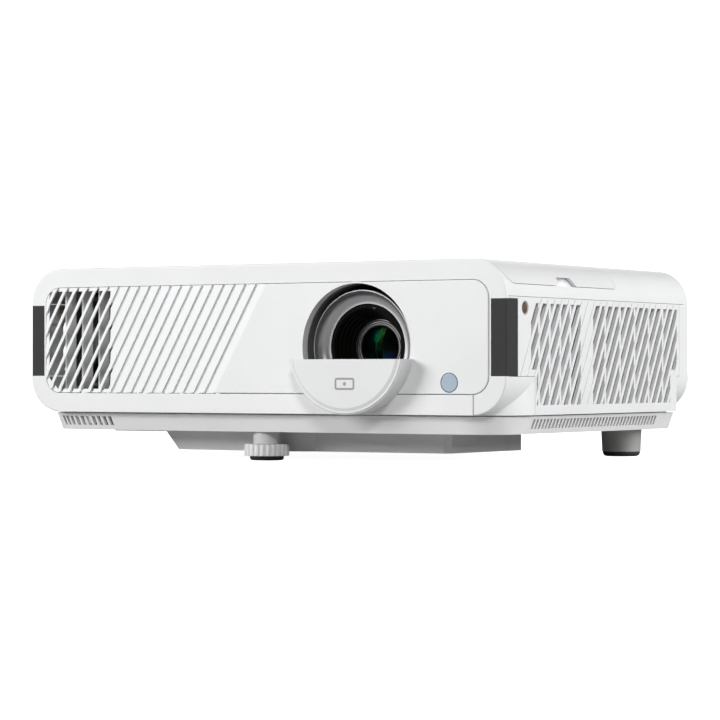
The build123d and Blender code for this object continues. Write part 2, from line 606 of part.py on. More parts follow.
# ---------------------------------------------------------------- rear shell
PLATE_FRONT = REAR - 4.0
BOARD_X0 = -62.0              # main board
BOARD_X1 = 110.0
BOARD_Z = 45.2
BOARD_THICK = 1.6
BOARD_FRONT_Y = 108.0         # front and rear rows of board posts
BOARD_REAR_Y = 141.0
PLATE_BACK = REAR - 1.5
HDMI_XS = (58.0, 82.0)
USB_XS = (14.0, 34.0)
JACK_XS = (-56.0, -44.0)
SERIAL_X = -18.0
PORT_Z = 49.8                 # middle of the sockets on the main board
INLET_X = -150.0
INLET_Z = 62.0
LOCK_X = 184.0
SPEAKER_X = 152.0

with BuildPart() as rear_shell:
    add(case_shell.part)
    with BuildSketch(Plane.YZ.offset(-SIDE_X - 1)):
        with BuildLine():
            Polyline((FRONT + SKIRT_END + SEAM, CASE_BOTTOM - 1), (REAR + 1, CASE_BOTTOM - 1),
                     (REAR + 1, COVER_SEAM - SEAM), (FRONT + 273, COVER_SEAM - SEAM),
                     (FRONT + 273, STRIP_BOTTOM - SEAM), (FRONT + SKIRT_END + SEAM, STRIP_BOTTOM - SEAM),
                     close=True)
        make_face()
    extrude(amount=WIDTH + 2, mode=Mode.INTERSECT)
    block(-162, 162, FRONT + 262, FRONT + SKIRT_END + 1, CASE_BOTTOM, CASE_BOTTOM + WALL)
    for x in (BOARD_X0 + 6, BOARD_X1 - 6):
        post(x, BOARD_REAR_Y, 3, CASE_BOTTOM + WALL - 0.1, BOARD_Z)
    with BuildSketch(upright(PLATE_FRONT)):
        case_section(WALL - 0.1)
    extrude(amount=-(PLATE_BACK - PLATE_FRONT))
    block(-SIDE_X, SIDE_X, PLATE_FRONT - 1, REAR + 1, COVER_SEAM - SEAM, CASE_TOP, Mode.SUBTRACT)
    with BuildSketch(upright(PLATE_FRONT)):
        case_section(WALL + 0.3)
        with Locations((0, CASE_BOTTOM + 10)):
            Rectangle(WIDTH, 60, mode=Mode.SUBTRACT)
    extrude(amount=-(PLATE_BACK - PLATE_FRONT))
    with BuildSketch(upright(PLATE_FRONT - 1)):
        for hdmi_x in HDMI_XS:
            with Locations((hdmi_x, PORT_Z)):
                RectangleRounded(16.2, 7.0, 0.5)
        for usb_x in USB_XS:
            with Locations((usb_x, PORT_Z + 0.6)):
                RectangleRounded(15.2, 8.0, 0.4)
        for jack_x in JACK_XS:
            with Locations((jack_x, PORT_Z)):
                Circle(3.6)
        with Locations((SERIAL_X, PORT_Z + 1.5)):
            RectangleRounded(19.0, 10.2, 2.5)
        with Locations((INLET_X, INLET_Z)):
            RectangleRounded(28.2, 20.8, 2.2)
        with Locations((LOCK_X, 72)):
            RectangleRounded(7.0, 3.0, 0.8)
    extrude(amount=-6, mode=Mode.SUBTRACT)
    with BuildSketch(upright(PLATE_FRONT - 1)):
        for row in range(-24, 20):
            slanted_bar(row * SLOT_PITCH, 46, 116, 5.5)
        with BuildLine():
            Polyline((-168, 84), (130, 84), (130, 52), (174, 52), (174, 96), (130, 96),
                     (130, 112), (-168, 112), close=True)
        make_face(mode=Mode.INTERSECT)
        with Locations((78, 96)):
            Rectangle(105, 40, mode=Mode.SUBTRACT)
    extrude(amount=-6, mode=Mode.SUBTRACT)
save(rear_shell, "rear_shell")

# ---------------------------------------------------------------- bottom tray
TRAY_TAPER = 20.0
TRAY_FLOOR = FLOOR_GAP + WALL
TRAY_HALF = SIDE_X - 2.5
VENT_BOTTOM = 24.0
VENT_TOP = 30.6
VENT_PITCH = 5.06
VENT_WIDTH = 3.0
VENT_COUNT = 39
CORNER_CENTRE = (-164.0, FRONT + 40.0)
FOOT_X = -4.0
FOOT_Y = FRONT + 20.0
REAR_FEET = ((-170.0, FRONT + 240.0), (170.0, FRONT + 240.0))
MOUNT_X = 155.0               # ceiling mount pattern, half spacings
MOUNT_Y0 = -70.0
MOUNT_Y1 = 80.0
SUPPLY_X0 = -189.0            # power supply board
SUPPLY_X1 = -66.0
SUPPLY_Y0 = 72.0
SUPPLY_Y1 = 120.0
SUPPLY_Z = 38.0
CASE_SCREWS = ((-186.0, -60.0), (186.0, -60.0), (-186.0, 30.0), (186.0, 30.0),
               (-120.0, 112.0), (120.0, 112.0))

with BuildPart() as bottom_tray:
    with BuildSketch(Plane.XY.offset(TRAY_TOP)):
        skirt_plan(2.5, 1.5, 280, 38.5)
    extrude(amount=-(TRAY_TOP - FLOOR_GAP), taper=TRAY_TAPER)
    block(-SIDE_X, SIDE_X, FRONT + SKIRT_END, REAR + 5, FLOOR_GAP - 1, TRAY_TOP + 1, Mode.SUBTRACT)
    with BuildSketch(Plane.XY.offset(TRAY_TOP)):
        skirt_plan(5.0, 1.5, 266.2, 38.5)
    extrude(amount=-(TRAY_TOP - TRAY_FLOOR), taper=TRAY_TAPER, mode=Mode.SUBTRACT)
    with BuildSketch(Plane.XY.offset(TRAY_TOP - 2)):
        skirt_plan(5.2, 1.5, 266.2, 38.5)
        offset(amount=-1.6, mode=Mode.SUBTRACT)
    extrude(amount=6.5)
    for x, y in CASE_SCREWS:
        post(x, y, 5, TRAY_FLOOR - 0.5, TRAY_TOP)
        post(x, y, 1.6, FLOOR_GAP - 1, TRAY_TOP + 1, Mode.SUBTRACT)
        post(x, y, 3.2, FLOOR_GAP - 1, FLOOR_GAP + 1.8, Mode.SUBTRACT)
    for x in (-MOUNT_X, MOUNT_X):
        for y in (MOUNT_Y0, MOUNT_Y1):
            post(x, y, 7, TRAY_FLOOR - 0.5, FLOOR_GAP + 9)
            post(x, y, 3.5, FLOOR_GAP - 1, FLOOR_GAP + 8, Mode.SUBTRACT)
    post(FOOT_X, FOOT_Y, 9.8, FLOOR_GAP - 1, TRAY_FLOOR + 1, Mode.SUBTRACT)
    for x in (BOARD_X0 + 6, BOARD_X1 - 6):
        post(x, BOARD_FRONT_Y, 3, TRAY_FLOOR - 0.5, BOARD_Z)
    for x in (SUPPLY_X0 + 6, SUPPLY_X1 - 6):
        for y in (SUPPLY_Y0 + 5, SUPPLY_Y1 - 5):
            post(x, y, 3, TRAY_FLOOR - 0.5, SUPPLY_Z)
    for side in (-1, 1):
        with BuildSketch(Plane.YZ.offset(side * (TRAY_HALF - 8))):
            for vent in range(VENT_COUNT):
                slanted_bar(FRONT + 45 + vent * VENT_PITCH, VENT_BOTTOM, VENT_TOP, VENT_WIDTH, 0)
        extrude(amount=side * 10, mode=Mode.SUBTRACT)
    for vent in range(10):
        along = -130.5 - vent * VENT_PITCH - CORNER_CENTRE[0]
        turn_angle = min(0, along) / 36.0
        vent_x = CORNER_CENTRE[0] + max(0, along) + 36.0 * sin(turn_angle)
        vent_y = CORNER_CENTRE[1] - 36.0 * cos(turn_angle)
        vent_plane = Plane(origin=(vent_x, vent_y, 0), x_dir=(cos(turn_angle), sin(turn_angle), 0),
                           z_dir=(sin(turn_angle), -cos(turn_angle), 0))
        with BuildSketch(vent_plane.offset(-8)):
            slanted_bar(-3.6, VENT_BOTTOM, VENT_TOP, VENT_WIDTH, -0.18)
        extrude(amount=10, mode=Mode.SUBTRACT)
save(bottom_tray, "bottom_tray")

with BuildPart() as mount_inserts:
    for x in (-MOUNT_X, MOUNT_X):
        for y in (MOUNT_Y0, MOUNT_Y1):
            post(x, y, 3.5, FLOOR_GAP, FLOOR_GAP + 8)
            post(x, y, 1.65, FLOOR_GAP - 1, FLOOR_GAP + 9, Mode.SUBTRACT)
save(mount_inserts, "mount_inserts")

with BuildPart() as case_screws:
    for x, y in CASE_SCREWS:
        post(x, y, 3.0, FLOOR_GAP + 0.2, FLOOR_GAP + 1.8)
        post(x, y, 1.5, FLOOR_GAP + 1.8, TRAY_TOP + 3)
        with BuildSketch(Plane.XY.offset(FLOOR_GAP)):
            with Locations((x, y)):
                Rectangle(3.4, 0.8)
                Rectangle(0.8, 3.4)
        extrude(amount=1.2, mode=Mode.SUBTRACT)
save(case_screws, "case_screws")

# ---------------------------------------------------------------- plinth under the tray
PLINTH_BOTTOM = 5.9
PLINTH_FRONT = 37.2           # behind the front face, clear of the foot's wheel


def plinth_plan(inset):
    """Plan of the plinth, whose front stands just behind the front foot."""
    left = -92.0 + inset
    front = FRONT + PLINTH_FRONT + inset
    rear = FRONT + 148.0 - inset
    with BuildLine() as outline:
        Line((left, front), (-0.7, front))
        TangentArc((-0.7, front), (21 + inset, front + 8), tangent=(1, 0))
        Polyline((21 + inset, front + 8), (126 - inset, FRONT + 48.5 + inset),
                 (130 - inset, FRONT + 53 + inset), (134 - inset, rear), (left, rear), (left, front))
    make_face(outline.edges())


with BuildPart() as base_plinth:
    with BuildSketch(Plane.XY.offset(FLOOR_GAP)):
        plinth_plan(0)
    extrude(amount=-(FLOOR_GAP - PLINTH_BOTTOM))
    with BuildSketch(upright(FRONT + PLINTH_FRONT + 0.4)):
        with BuildLine():
            Polyline((-88, FLOOR_GAP), (-106.5, FLOOR_GAP), (-94, PLINTH_BOTTOM),
                     (-88, PLINTH_BOTTOM), close=True)
        make_face()
    extrude(amount=-102)
    block(-152.5, -90, FRONT + PLINTH_FRONT, FRONT + 140, FLOOR_GAP - 1.4, FLOOR_GAP)
    with BuildSketch(Plane.XY.offset(FLOOR_GAP)):
        plinth_plan(3.0)
    extrude(amount=-(FLOOR_GAP - PLINTH_BOTTOM - WALL), mode=Mode.SUBTRACT)
save(base_plinth, "base_plinth")

# ---------------------------------------------------------------- feet
WHEEL_BOTTOM = 3.2
WHEEL_TOP = 11.5
WHEEL_R = 16.1
WHEEL_FLUTES = 24
FOOT_STEM_R = 4.0
SOCKET_TOP = 40.0

with BuildPart() as foot_socket:
    post(FOOT_X, FOOT_Y, 9.75, WHEEL_TOP + 0.3, SOCKET_TOP)
    block(FOOT_X - 14, FOOT_X + 14, FOOT_Y, FOOT_Y + 14, TRAY_FLOOR, TRAY_FLOOR + 2)
    post(FOOT_X, FOOT_Y, FOOT_STEM_R + RUN, 0, SOCKET_TOP + 1, Mode.SUBTRACT)
save(foot_socket, "foot_socket")

with BuildPart() as foot_wheel:
    post(FOOT_X, FOOT_Y, WHEEL_R, WHEEL_BOTTOM, WHEEL_TOP)
    chamfer(foot_wheel.edges().filter_by(GeomType.CIRCLE), 0.5)
    with BuildSketch(Plane.XY.offset(WHEEL_BOTTOM - 1)):
        with Locations((FOOT_X, FOOT_Y)):
            with PolarLocations(WHEEL_R + 0.75, WHEEL_FLUTES):
                Circle(1.7)
    extrude(amount=WHEEL_TOP - WHEEL_BOTTOM + 2, mode=Mode.SUBTRACT)
    post(FOOT_X, FOOT_Y, FOOT_STEM_R, WHEEL_TOP - 1, SOCKET_TOP - 4)
    post(FOOT_X, FOOT_Y, 3.05, WHEEL_BOTTOM - 1, WHEEL_BOTTOM + 4, Mode.SUBTRACT)
save(foot_wheel, "foot_wheel")

with BuildPart() as foot_pad:
    post(FOOT_X, FOOT_Y, 12.2, 0, WHEEL_BOTTOM - 0.1)
    fillet(foot_pad.edges().sort_by(Axis.Z)[0], 1.8)
    post(FOOT_X, FOOT_Y, 3.0, WHEEL_BOTTOM - 0.2, WHEEL_BOTTOM + 3.8)
save(foot_pad, "foot_pad")

REAR_PAD_TOP = 3.6
with BuildPart() as rear_feet:
    for x, y in REAR_FEET:
        with BuildSketch(Plane.XY.offset(FLOOR_GAP)):
            with Locations((x, y)):
                Circle(15.3)
        extrude(amount=-(FLOOR_GAP - REAR_PAD_TOP), taper=3.0)
save(rear_feet, "rear_feet")

with BuildPart() as rear_pads:
    for x, y in REAR_FEET:
        post(x, y, 14, 0, REAR_PAD_TOP)
    fillet(rear_pads.edges().group_by(Axis.Z)[0], 3.0)
save(rear_pads, "rear_pads")

# ---------------------------------------------------------------- lens: fixed pieces
LINER_R = 43.9
RING_R = 39.7                 # silver surround, outer rim
RING_THROAT_R = 30.4
RING_RIM = 7.0                # its rim and throat, behind the front face
RING_THROAT = 15.0
BARREL_R = 30.0
BARREL_BORE = 27.4
BARREL_BACK = 84.0
CELL_R = 19.95
CELL_GUIDE = 20.0
GLASS_R = 15.3
ROD_XS = (LENS_X - 42, LENS_X + 42)
ROD_R = 3.0
CARRIAGE_Z0 = LENS_Z - 34
CARRIAGE_Z1 = LENS_Z + 34

with BuildPart() as lens_well_liner:
    turned((LINER_R, COLLAR_DEPTH), (53, COLLAR_DEPTH), (53, COLLAR_DEPTH + 2),
           (46, COLLAR_DEPTH + 2), (46, 19), (LINER_R, 19))
    block(LENS_X - 60, LENS_X + 60, FRONT, FRONT + 25, 0, CASE_BOTTOM + 4.4, Mode.SUBTRACT)
save(lens_well_liner, "lens_well_liner")

with BuildPart() as lens_guide_frame:
    block(28, 134, DIAL_Y - 6.5, DIAL_Y + 11.5, 38, CARRIAGE_Z0 - SHIFT_TRAVEL - 0.3)
    block(28, 134, DIAL_Y - 6.5, DIAL_Y + 11.5, CARRIAGE_Z1 + SHIFT_TRAVEL + 0.3, BAY_FLOOR - 2.4)
    block(28, 34, DIAL_Y - 6.5, DIAL_Y + 11.5, TRAY_FLOOR, BAY_FLOOR - 2.4)
    block(126, 134, DIAL_Y + 7, DIAL_Y + 11.5, TRAY_FLOOR, BAY_FLOOR - 2.4)
    for rod_x_place in ROD_XS:
        post(rod_x_place, DIAL_Y, ROD_R, 38, BAY_FLOOR, Mode.SUBTRACT)
save(lens_guide_frame, "lens_guide_frame")

with BuildPart() as lens_guide_rods:
    for rod_x_place in ROD_XS:
        post(rod_x_place, DIAL_Y, ROD_R, 38, BAY_FLOOR - 2.4)
save(lens_guide_rods, "lens_guide_rods")

# ---------------------------------------------------------------- lens: shifting pieces
with BuildPart() as lens_ring:
    with BuildSketch(LENS_PLANE):
        with BuildLine():
            rim = (RING_R - 0.6, RING_RIM)
            throat = (RING_THROAT_R, RING_THROAT)
            middle = (RING_THROAT_R + (RING_R - 0.6 - RING_THROAT_R) * cos(pi / 4),
                      RING_RIM + (RING_THROAT - RING_RIM) * sin(pi / 4))
            ThreePointArc(rim, middle, throat)
            Polyline(throat, (RING_THROAT_R, RING_THROAT + 1.5), (RING_R - 1.5, 18.5),
                     (RING_R, 18.5), (RING_R, RING_RIM), rim)
        make_face()
    revolve(axis=LENS_AXIS)
save(lens_ring, "lens_ring")

with BuildPart() as lens_barrel:
    turned((BARREL_BORE, RING_THROAT), (BARREL_R, RING_THROAT), (BARREL_R, BARREL_BACK),
           (BARREL_BORE, BARREL_BACK))
save(lens_barrel, "lens_barrel")

with BuildPart() as lens_baffle:
    turned((BARREL_BORE, 16), (26.6, 16), (26.6, 19), (25.0, 19), (25.0, 22), (23.6, 22),
           (23.6, 25.5), (22.2, 25.5), (22.2, 28.5), (CELL_GUIDE, 28.5), (CELL_GUIDE, 58),
           (22.0, 58), (22.0, 36), (BARREL_BORE, 36))
save(lens_baffle, "lens_baffle")

with BuildPart() as dust_shield:
    turned((BARREL_R, 20), (48, 20), (48, 22), (BARREL_R, 22))
save(dust_shield, "dust_shield")

with BuildPart() as lens_carriage:
    block(LENS_X - 48, LENS_X + 48, DIAL_Y - 2, DIAL_Y + 2, CARRIAGE_Z0, CARRIAGE_Z1)
    for rod_x_place in ROD_XS:
        post(rod_x_place, DIAL_Y, 6, CARRIAGE_Z0, CARRIAGE_Z1)
    block(LENS_X + 40, DIAL_X, DIAL_Y - 2, DIAL_Y + 2, CARRIAGE_Z1 - 17, CARRIAGE_Z1 - 3)
    post(DIAL_X, DIAL_Y, 6, CARRIAGE_Z1 - 17, CARRIAGE_Z1 - 3)
    rod_y(LENS_X, LENS_Z, BARREL_R, DIAL_Y - 5, DIAL_Y + 5, Mode.SUBTRACT)
    for rod_x_place in ROD_XS:
        post(rod_x_place, DIAL_Y, ROD_R + RUN, CARRIAGE_Z0 - 1, CARRIAGE_Z1 + 1, Mode.SUBTRACT)
    post(DIAL_X, DIAL_Y, DIAL_SHAFT_R + RUN, CARRIAGE_Z0, CARRIAGE_Z1, Mode.SUBTRACT)
save(lens_carriage, "lens_carriage")

with BuildPart() as shift_dial:
    post(DIAL_X, DIAL_Y, 11, BAY_FLOOR + 1, BAY_FLOOR + 7.5)
    chamfer(shift_dial.edges().filter_by(GeomType.CIRCLE), 0.5)
    with BuildSketch(Plane.XY.offset(BAY_FLOOR)):
        with Locations((DIAL_X, DIAL_Y)):
            with PolarLocations(11.4, 24):
                Circle(0.9)
    extrude(amount=9, mode=Mode.SUBTRACT)
    post(DIAL_X, DIAL_Y, DIAL_SHAFT_R, CARRIAGE_Z1 - 24, BAY_FLOOR + 2)
    post(DIAL_X, DIAL_Y, 5, BAY_FLOOR - 5.2, BAY_FLOOR - 2.4)
save(shift_dial, "shift_dial")

# ---------------------------------------------------------------- lens: turning rings and cells
with BuildPart() as focus_ring:
    turned((BARREL_R + RUN, 42), (35, 42), (35, 54), (BARREL_R + RUN, 54))
    with BuildSketch(upright(FRONT + 41)):
        with Locations((LENS_X, LENS_Z)):
            with PolarLocations(35.4, 48):
                Circle(0.9)
    extrude(amount=-14, mode=Mode.SUBTRACT)
    block(LENS_X - 4, LENS_X + 4, FOCUS_Y - 1.5, FOCUS_Y + 1.5, LENS_Z + 33, LENS_Z + 50)
    fillet(focus_ring.edges().group_by(Axis.Z)[-1], 1.0)
save(focus_ring, "focus_ring")

with BuildPart() as zoom_ring:
    turned((BARREL_R + RUN, 60), (34, 60), (34, 71.5), (BARREL_R + RUN, 71.5))
    block(LENS_X - 4, LENS_X + 4, ZOOM_Y - 1.5, ZOOM_Y + 1.5, LENS_Z + 32, LENS_Z + 50)
    fillet(zoom_ring.edges().group_by(Axis.Z)[-1], 1.0)
save(zoom_ring, "zoom_ring")

with BuildPart() as focus_cell:
    turned((GLASS_R, 31.5), (CELL_R - 1.2, 31.5), (CELL_R, 32.7), (CELL_R, 56), (17.2, 56),
           (17.2, 34.2), (GLASS_R, 34.2))
save(focus_cell, "focus_cell")



def on_dome(vertex, rim_r, rim_depth, r):
    """Point at radius r on a spherical lens face through its vertex and its rim."""
    sag = rim_depth - vertex
    bend = (rim_r ** 2 + sag ** 2) / (2 * sag)
    return (r, vertex + bend - copysign(sqrt(bend ** 2 - r ** 2), bend))


with BuildPart() as front_lens:
    with BuildSketch(LENS_PLANE):
        with BuildLine():
            ThreePointArc((0, 31.9), on_dome(31.9, 15.2, 34.2, 8), (15.2, 34.2))
            Polyline((15.2, 34.2), (17.1, 34.2), (17.1, 38))
            ThreePointArc((17.1, 38), on_dome(40, 17.1, 38, 8), (0, 40))
            Line((0, 40), (0, 31.9))
        make_face()
    revolve(axis=LENS_AXIS)
save(front_lens, "front_lens")

with BuildPart() as zoom_cell:
    turned((24.2, 62), (BARREL_BORE - RUN, 62), (BARREL_BORE - RUN, 78), (24.2, 78))
save(zoom_cell, "zoom_cell")

with BuildPart() as zoom_lens:
    with BuildSketch(LENS_PLANE):
        with BuildLine():
            ThreePointArc((0, 64), on_dome(64, 24.15, 67, 12), (24.15, 67))
            Line((24.15, 67), (24.15, 72))
            ThreePointArc((24.15, 72), on_dome(75, 24.15, 72, 12), (0, 75))
            Line((0, 75), (0, 64))
        make_face()
    revolve(axis=LENS_AXIS)
save(zoom_lens, "zoom_lens")

# ---------------------------------------------------------------- light engine
LAMP_Y = 30.0
LAMP_Z = 76.0
WHEEL_AXIS_Z = LAMP_Z + 13
ENGINE_X0 = 44.0
ENGINE_X1 = 124.0
ENGINE_Y0 = -44.0
ENGINE_Y1 = 58.0
ENGINE_Z0 = 40.0
ENGINE_Z1 = 112.0
ENGINE_WALL = 3.0

with BuildPart() as optical_engine:
    block(ENGINE_X0, ENGINE_X1, ENGINE_Y0, ENGINE_Y1, ENGINE_Z0, ENGINE_Z1)
    chamfer(optical_engine.edges().filter_by(Axis.Z), 6)
    block(ENGINE_X0 + ENGINE_WALL, ENGINE_X1 - ENGINE_WALL, ENGINE_Y0 + ENGINE_WALL + 4,
          ENGINE_Y1 - ENGINE_WALL - 4, ENGINE_Z0 - 1, ENGINE_Z1 - ENGINE_WALL, Mode.SUBTRACT)
    rod_y(LENS_X, LENS_Z, 22, ENGINE_Y0 - 1, ENGINE_Y0 + 20, Mode.SUBTRACT)
    rod_x(LAMP_Y, LAMP_Z, 8, ENGINE_X0 - 1, ENGINE_X0 + 10, Mode.SUBTRACT)
    for x in (ENGINE_X0 + 12, ENGINE_X1 - 12):
        for y in (ENGINE_Y0 + 3.5, ENGINE_Y1 - 3.5):
            block(x - 3, x + 3, y - 3, y + 3, TRAY_FLOOR, ENGINE_Z0 + 1)
    block(26, ENGINE_X0 + 1, LAMP_Y - 8, LAMP_Y + 8, ENGINE_Z1 - 3.5, ENGINE_Z1)
    block(26, 36.5, LAMP_Y - 4, LAMP_Y + 4, WHEEL_AXIS_Z + 6, ENGINE_Z1)
    rod_x(LAMP_Y, WHEEL_AXIS_Z, 9, 26, 36.5)
    rod_x(LAMP_Y, WHEEL_AXIS_Z, 1.0 + RUN, 25, 38, Mode.SUBTRACT)
save(optical_engine, "optical_engine")

with BuildPart() as colour_wheel:
    rod_x(LAMP_Y, WHEEL_AXIS_Z, 18, 39.4, 40.4)
    rod_x(LAMP_Y, WHEEL_AXIS_Z, 7, 37.2, 41.4)
    rod_x(LAMP_Y, WHEEL_AXIS_Z, 1.0, 27, 38)
save(colour_wheel, "colour_wheel")

with BuildPart() as engine_heat_sink:
    block(ENGINE_X0 + 10, ENGINE_X1 - 10, ENGINE_Y1, ENGINE_Y1 + 4, 48, 106)
    for fin in range(11):
        fin_x = ENGINE_X0 + 10 + fin * 5.85
        block(fin_x, fin_x + 1.5, ENGINE_Y1 + 3, ENGINE_Y1 + 24, 48, 106)
save(engine_heat_sink, "engine_heat_sink")

with BuildPart() as lamp_module:
    block(-55, 22, LAMP_Y - 32, LAMP_Y + 32, LAMP_Z - 34, LAMP_Z + 34)
    block(-53, 23, LAMP_Y - 30, LAMP_Y + 30, LAMP_Z - 32, LAMP_Z + 32, Mode.SUBTRACT)
    for x in (-50, 17):
        for y in (LAMP_Y - 27, LAMP_Y + 27):
            block(x - 3, x + 3, y - 3, y + 3, TRAY_FLOOR, LAMP_Z - 33)
    with BuildSketch(Plane(origin=(0, LAMP_Y, LAMP_Z), x_dir=(1, 0, 0), z_dir=(0, 0, 1))):
        with BuildLine():
            ThreePointArc((-40, 4), (-28, 19), (2, 27))
            Line((2, 27), (2, 29))
            ThreePointArc((2, 29), (-30, 21), (-42, 4))
            Line((-42, 4), (-40, 4))
        make_face()
    revolve(axis=Axis((0, LAMP_Y, LAMP_Z), (1, 0, 0)))
    rod_x(LAMP_Y, LAMP_Z, 4.2, -53.5, -40)
    rod_x(LAMP_Y, LAMP_Z, 2.0, -41, -18)
save(lamp_module, "lamp_module")

# ---------------------------------------------------------------- fans
FAN_FRONT_X = -155.0
FAN_Z = 86.0
FAN_FRONT_SIZE = 66.0
FAN_SIDE_Y = -38.0
FAN_SIDE_SIZE = 76.0
FAN_DEPTH = 20.0
FAN_SHAFT_R = 1.5
FAN_FRONT_PLANE = Plane(origin=(FAN_FRONT_X, FRONT + 42.5, FAN_Z), x_dir=(1, 0, 0), z_dir=(0, -1, 0))
FAN_SIDE_PLANE = Plane(origin=(-172, FAN_SIDE_Y, FAN_Z), x_dir=(0, -1, 0), z_dir=(-1, 0, 0))


def fan_frame(plane, size):
    """Square fan frame whose motor plate lies on the plane."""
    bore = size / 2 - 1.5
    with BuildPart() as frame:
        with BuildSketch(plane):
            RectangleRounded(size, size, 4)
            Circle(bore, mode=Mode.SUBTRACT)
            with GridLocations(size - 9, size - 9, 2, 2):
                Circle(2.1, mode=Mode.SUBTRACT)
        extrude(amount=FAN_DEPTH)
        with BuildSketch(plane):
            Circle(11)
            with PolarLocations(bore / 2, 4, start_angle=45):
                Rectangle(bore + 2, 3)
        extrude(amount=2.5)
        with BuildSketch(plane):
            Circle(FAN_SHAFT_R + RUN)
        extrude(amount=5, mode=Mode.SUBTRACT)
    return frame.part


def fan_rotor(plane, size):
    """Hub, shaft and seven twisted blades that turn inside the frame."""
    tip = size / 2 - 3.0
    hub = 12.0
    reach = tip - hub + 1.0
    with BuildPart() as rotor:
        with BuildSketch(plane.offset(3.2)):
            Circle(hub)
        extrude(amount=FAN_DEPTH - 4.4)
        with BuildSketch(plane.offset(0.2)):
            Circle(FAN_SHAFT_R)
        extrude(amount=4)
        for blade in range(7):
            start = blade * 360 / 7
            with BuildSketch(plane.offset(4.5)) as low:
                with PolarLocations(hub - 1 + reach / 2, 1, start_angle=start):
                    Rectangle(reach, 1.5)
            with BuildSketch(plane.offset(FAN_DEPTH - 3)) as high:
                with PolarLocations(hub - 1 + reach / 2, 1, start_angle=start + 26):
                    Rectangle(reach, 1.5)
            loft([low.sketch.face(), high.sketch.face()])
    return rotor.part


with BuildPart() as fan_frames:
    add(fan_frame(FAN_FRONT_PLANE, FAN_FRONT_SIZE))
    add(fan_frame(FAN_SIDE_PLANE, FAN_SIDE_SIZE))
save(fan_frames, "fan_frames")

with BuildPart() as fan_rotor_front:
    add(fan_rotor(FAN_FRONT_PLANE, FAN_FRONT_SIZE))
save(fan_rotor_front, "fan_rotor_front")

with BuildPart() as fan_rotor_side:
    add(fan_rotor(FAN_SIDE_PLANE, FAN_SIDE_SIZE))
save(fan_rotor_side, "fan_rotor_side")

# ---------------------------------------------------------------- filters, boards, sockets
with BuildPart() as dust_filters:
    for y0, y1 in ((FRONT + 38, FRONT + 110), (FRONT + 128, FRONT + 260)):
        block(SIDE_X - 16, SIDE_X - 9.5, y0, y1, SLOT_BOTTOM + 1, SLOT_TOP - 1)
        block(SIDE_X - 11, SIDE_X - 9, y0 + 4, y1 - 4, SLOT_BOTTOM + 5, SLOT_TOP - 5, Mode.SUBTRACT)
save(dust_filters, "dust_filters")

BOARD_TOP_Z = BOARD_Z + BOARD_THICK
with BuildPart() as main_board:
    block(BOARD_X0, BOARD_X1, BOARD_FRONT_Y - 5, REAR - 6, BOARD_Z, BOARD_TOP_Z)
    block(-10, 26, 108, 132, BOARD_TOP_Z, BOARD_TOP_Z + 2)
    for fin in range(8):
        block(-9 + fin * 4.6, -7.8 + fin * 4.6, 109, 131, BOARD_TOP_Z + 2, BOARD_TOP_Z + 12)
    block(40, 56, 112, 128, BOARD_TOP_Z, BOARD_TOP_Z + 1.6)
    block(64, 76, 110, 130, BOARD_TOP_Z, BOARD_TOP_Z + 1.2)
    for x, y in ((-50, 112), (-40, 112), (-30, 112), (92, 114), (92, 126)):
        post(x, y, 3.5, BOARD_TOP_Z, BOARD_TOP_Z + 9)
save(main_board, "main_board")

with BuildPart() as rear_sockets:
    for hdmi_x in HDMI_XS:
        block(hdmi_x - 7.7, hdmi_x + 7.7, REAR - 14, REAR - 1, BOARD_TOP_Z, BOARD_TOP_Z + 6)
        block(hdmi_x - 7.0, hdmi_x + 7.0, REAR - 12, REAR, BOARD_TOP_Z + 0.7, BOARD_TOP_Z + 5.3,
              Mode.SUBTRACT)
        block(hdmi_x - 5.5, hdmi_x + 5.5, REAR - 13, REAR - 3, BOARD_TOP_Z + 2.4, BOARD_TOP_Z + 3.4)
    for usb_x in USB_XS:
        block(usb_x - 7.2, usb_x + 7.2, REAR - 16, REAR - 1, BOARD_TOP_Z, BOARD_TOP_Z + 7.2)
        block(usb_x - 6.5, usb_x + 6.5, REAR - 14, REAR, BOARD_TOP_Z + 0.7, BOARD_TOP_Z + 6.5,
              Mode.SUBTRACT)
        block(usb_x - 5.5, usb_x + 5.5, REAR - 15, REAR - 3, BOARD_TOP_Z + 4.4, BOARD_TOP_Z + 6.0)
    for jack_x in JACK_XS:
        block(jack_x - 4, jack_x + 4, REAR - 14, PLATE_FRONT - 0.2, BOARD_TOP_Z, BOARD_TOP_Z + 6.4)
        rod_y(jack_x, PORT_Z, 3.2, PLATE_FRONT - 1, REAR - 1)
        rod_y(jack_x, PORT_Z, 1.8, REAR - 13, REAR, Mode.SUBTRACT)
    block(SERIAL_X - 15, SERIAL_X + 15, PLATE_FRONT - 6, PLATE_FRONT - 0.2,
          BOARD_TOP_Z, BOARD_TOP_Z + 10.5)
    with BuildSketch(upright(PLATE_FRONT - 1)):
        with Locations((SERIAL_X, PORT_Z + 1.5)):
            RectangleRounded(18.2, 9.4, 2.2)
            RectangleRounded(17.0, 8.2, 1.8, mode=Mode.SUBTRACT)
    extrude(amount=-(REAR - PLATE_FRONT))
save(rear_sockets, "rear_sockets")

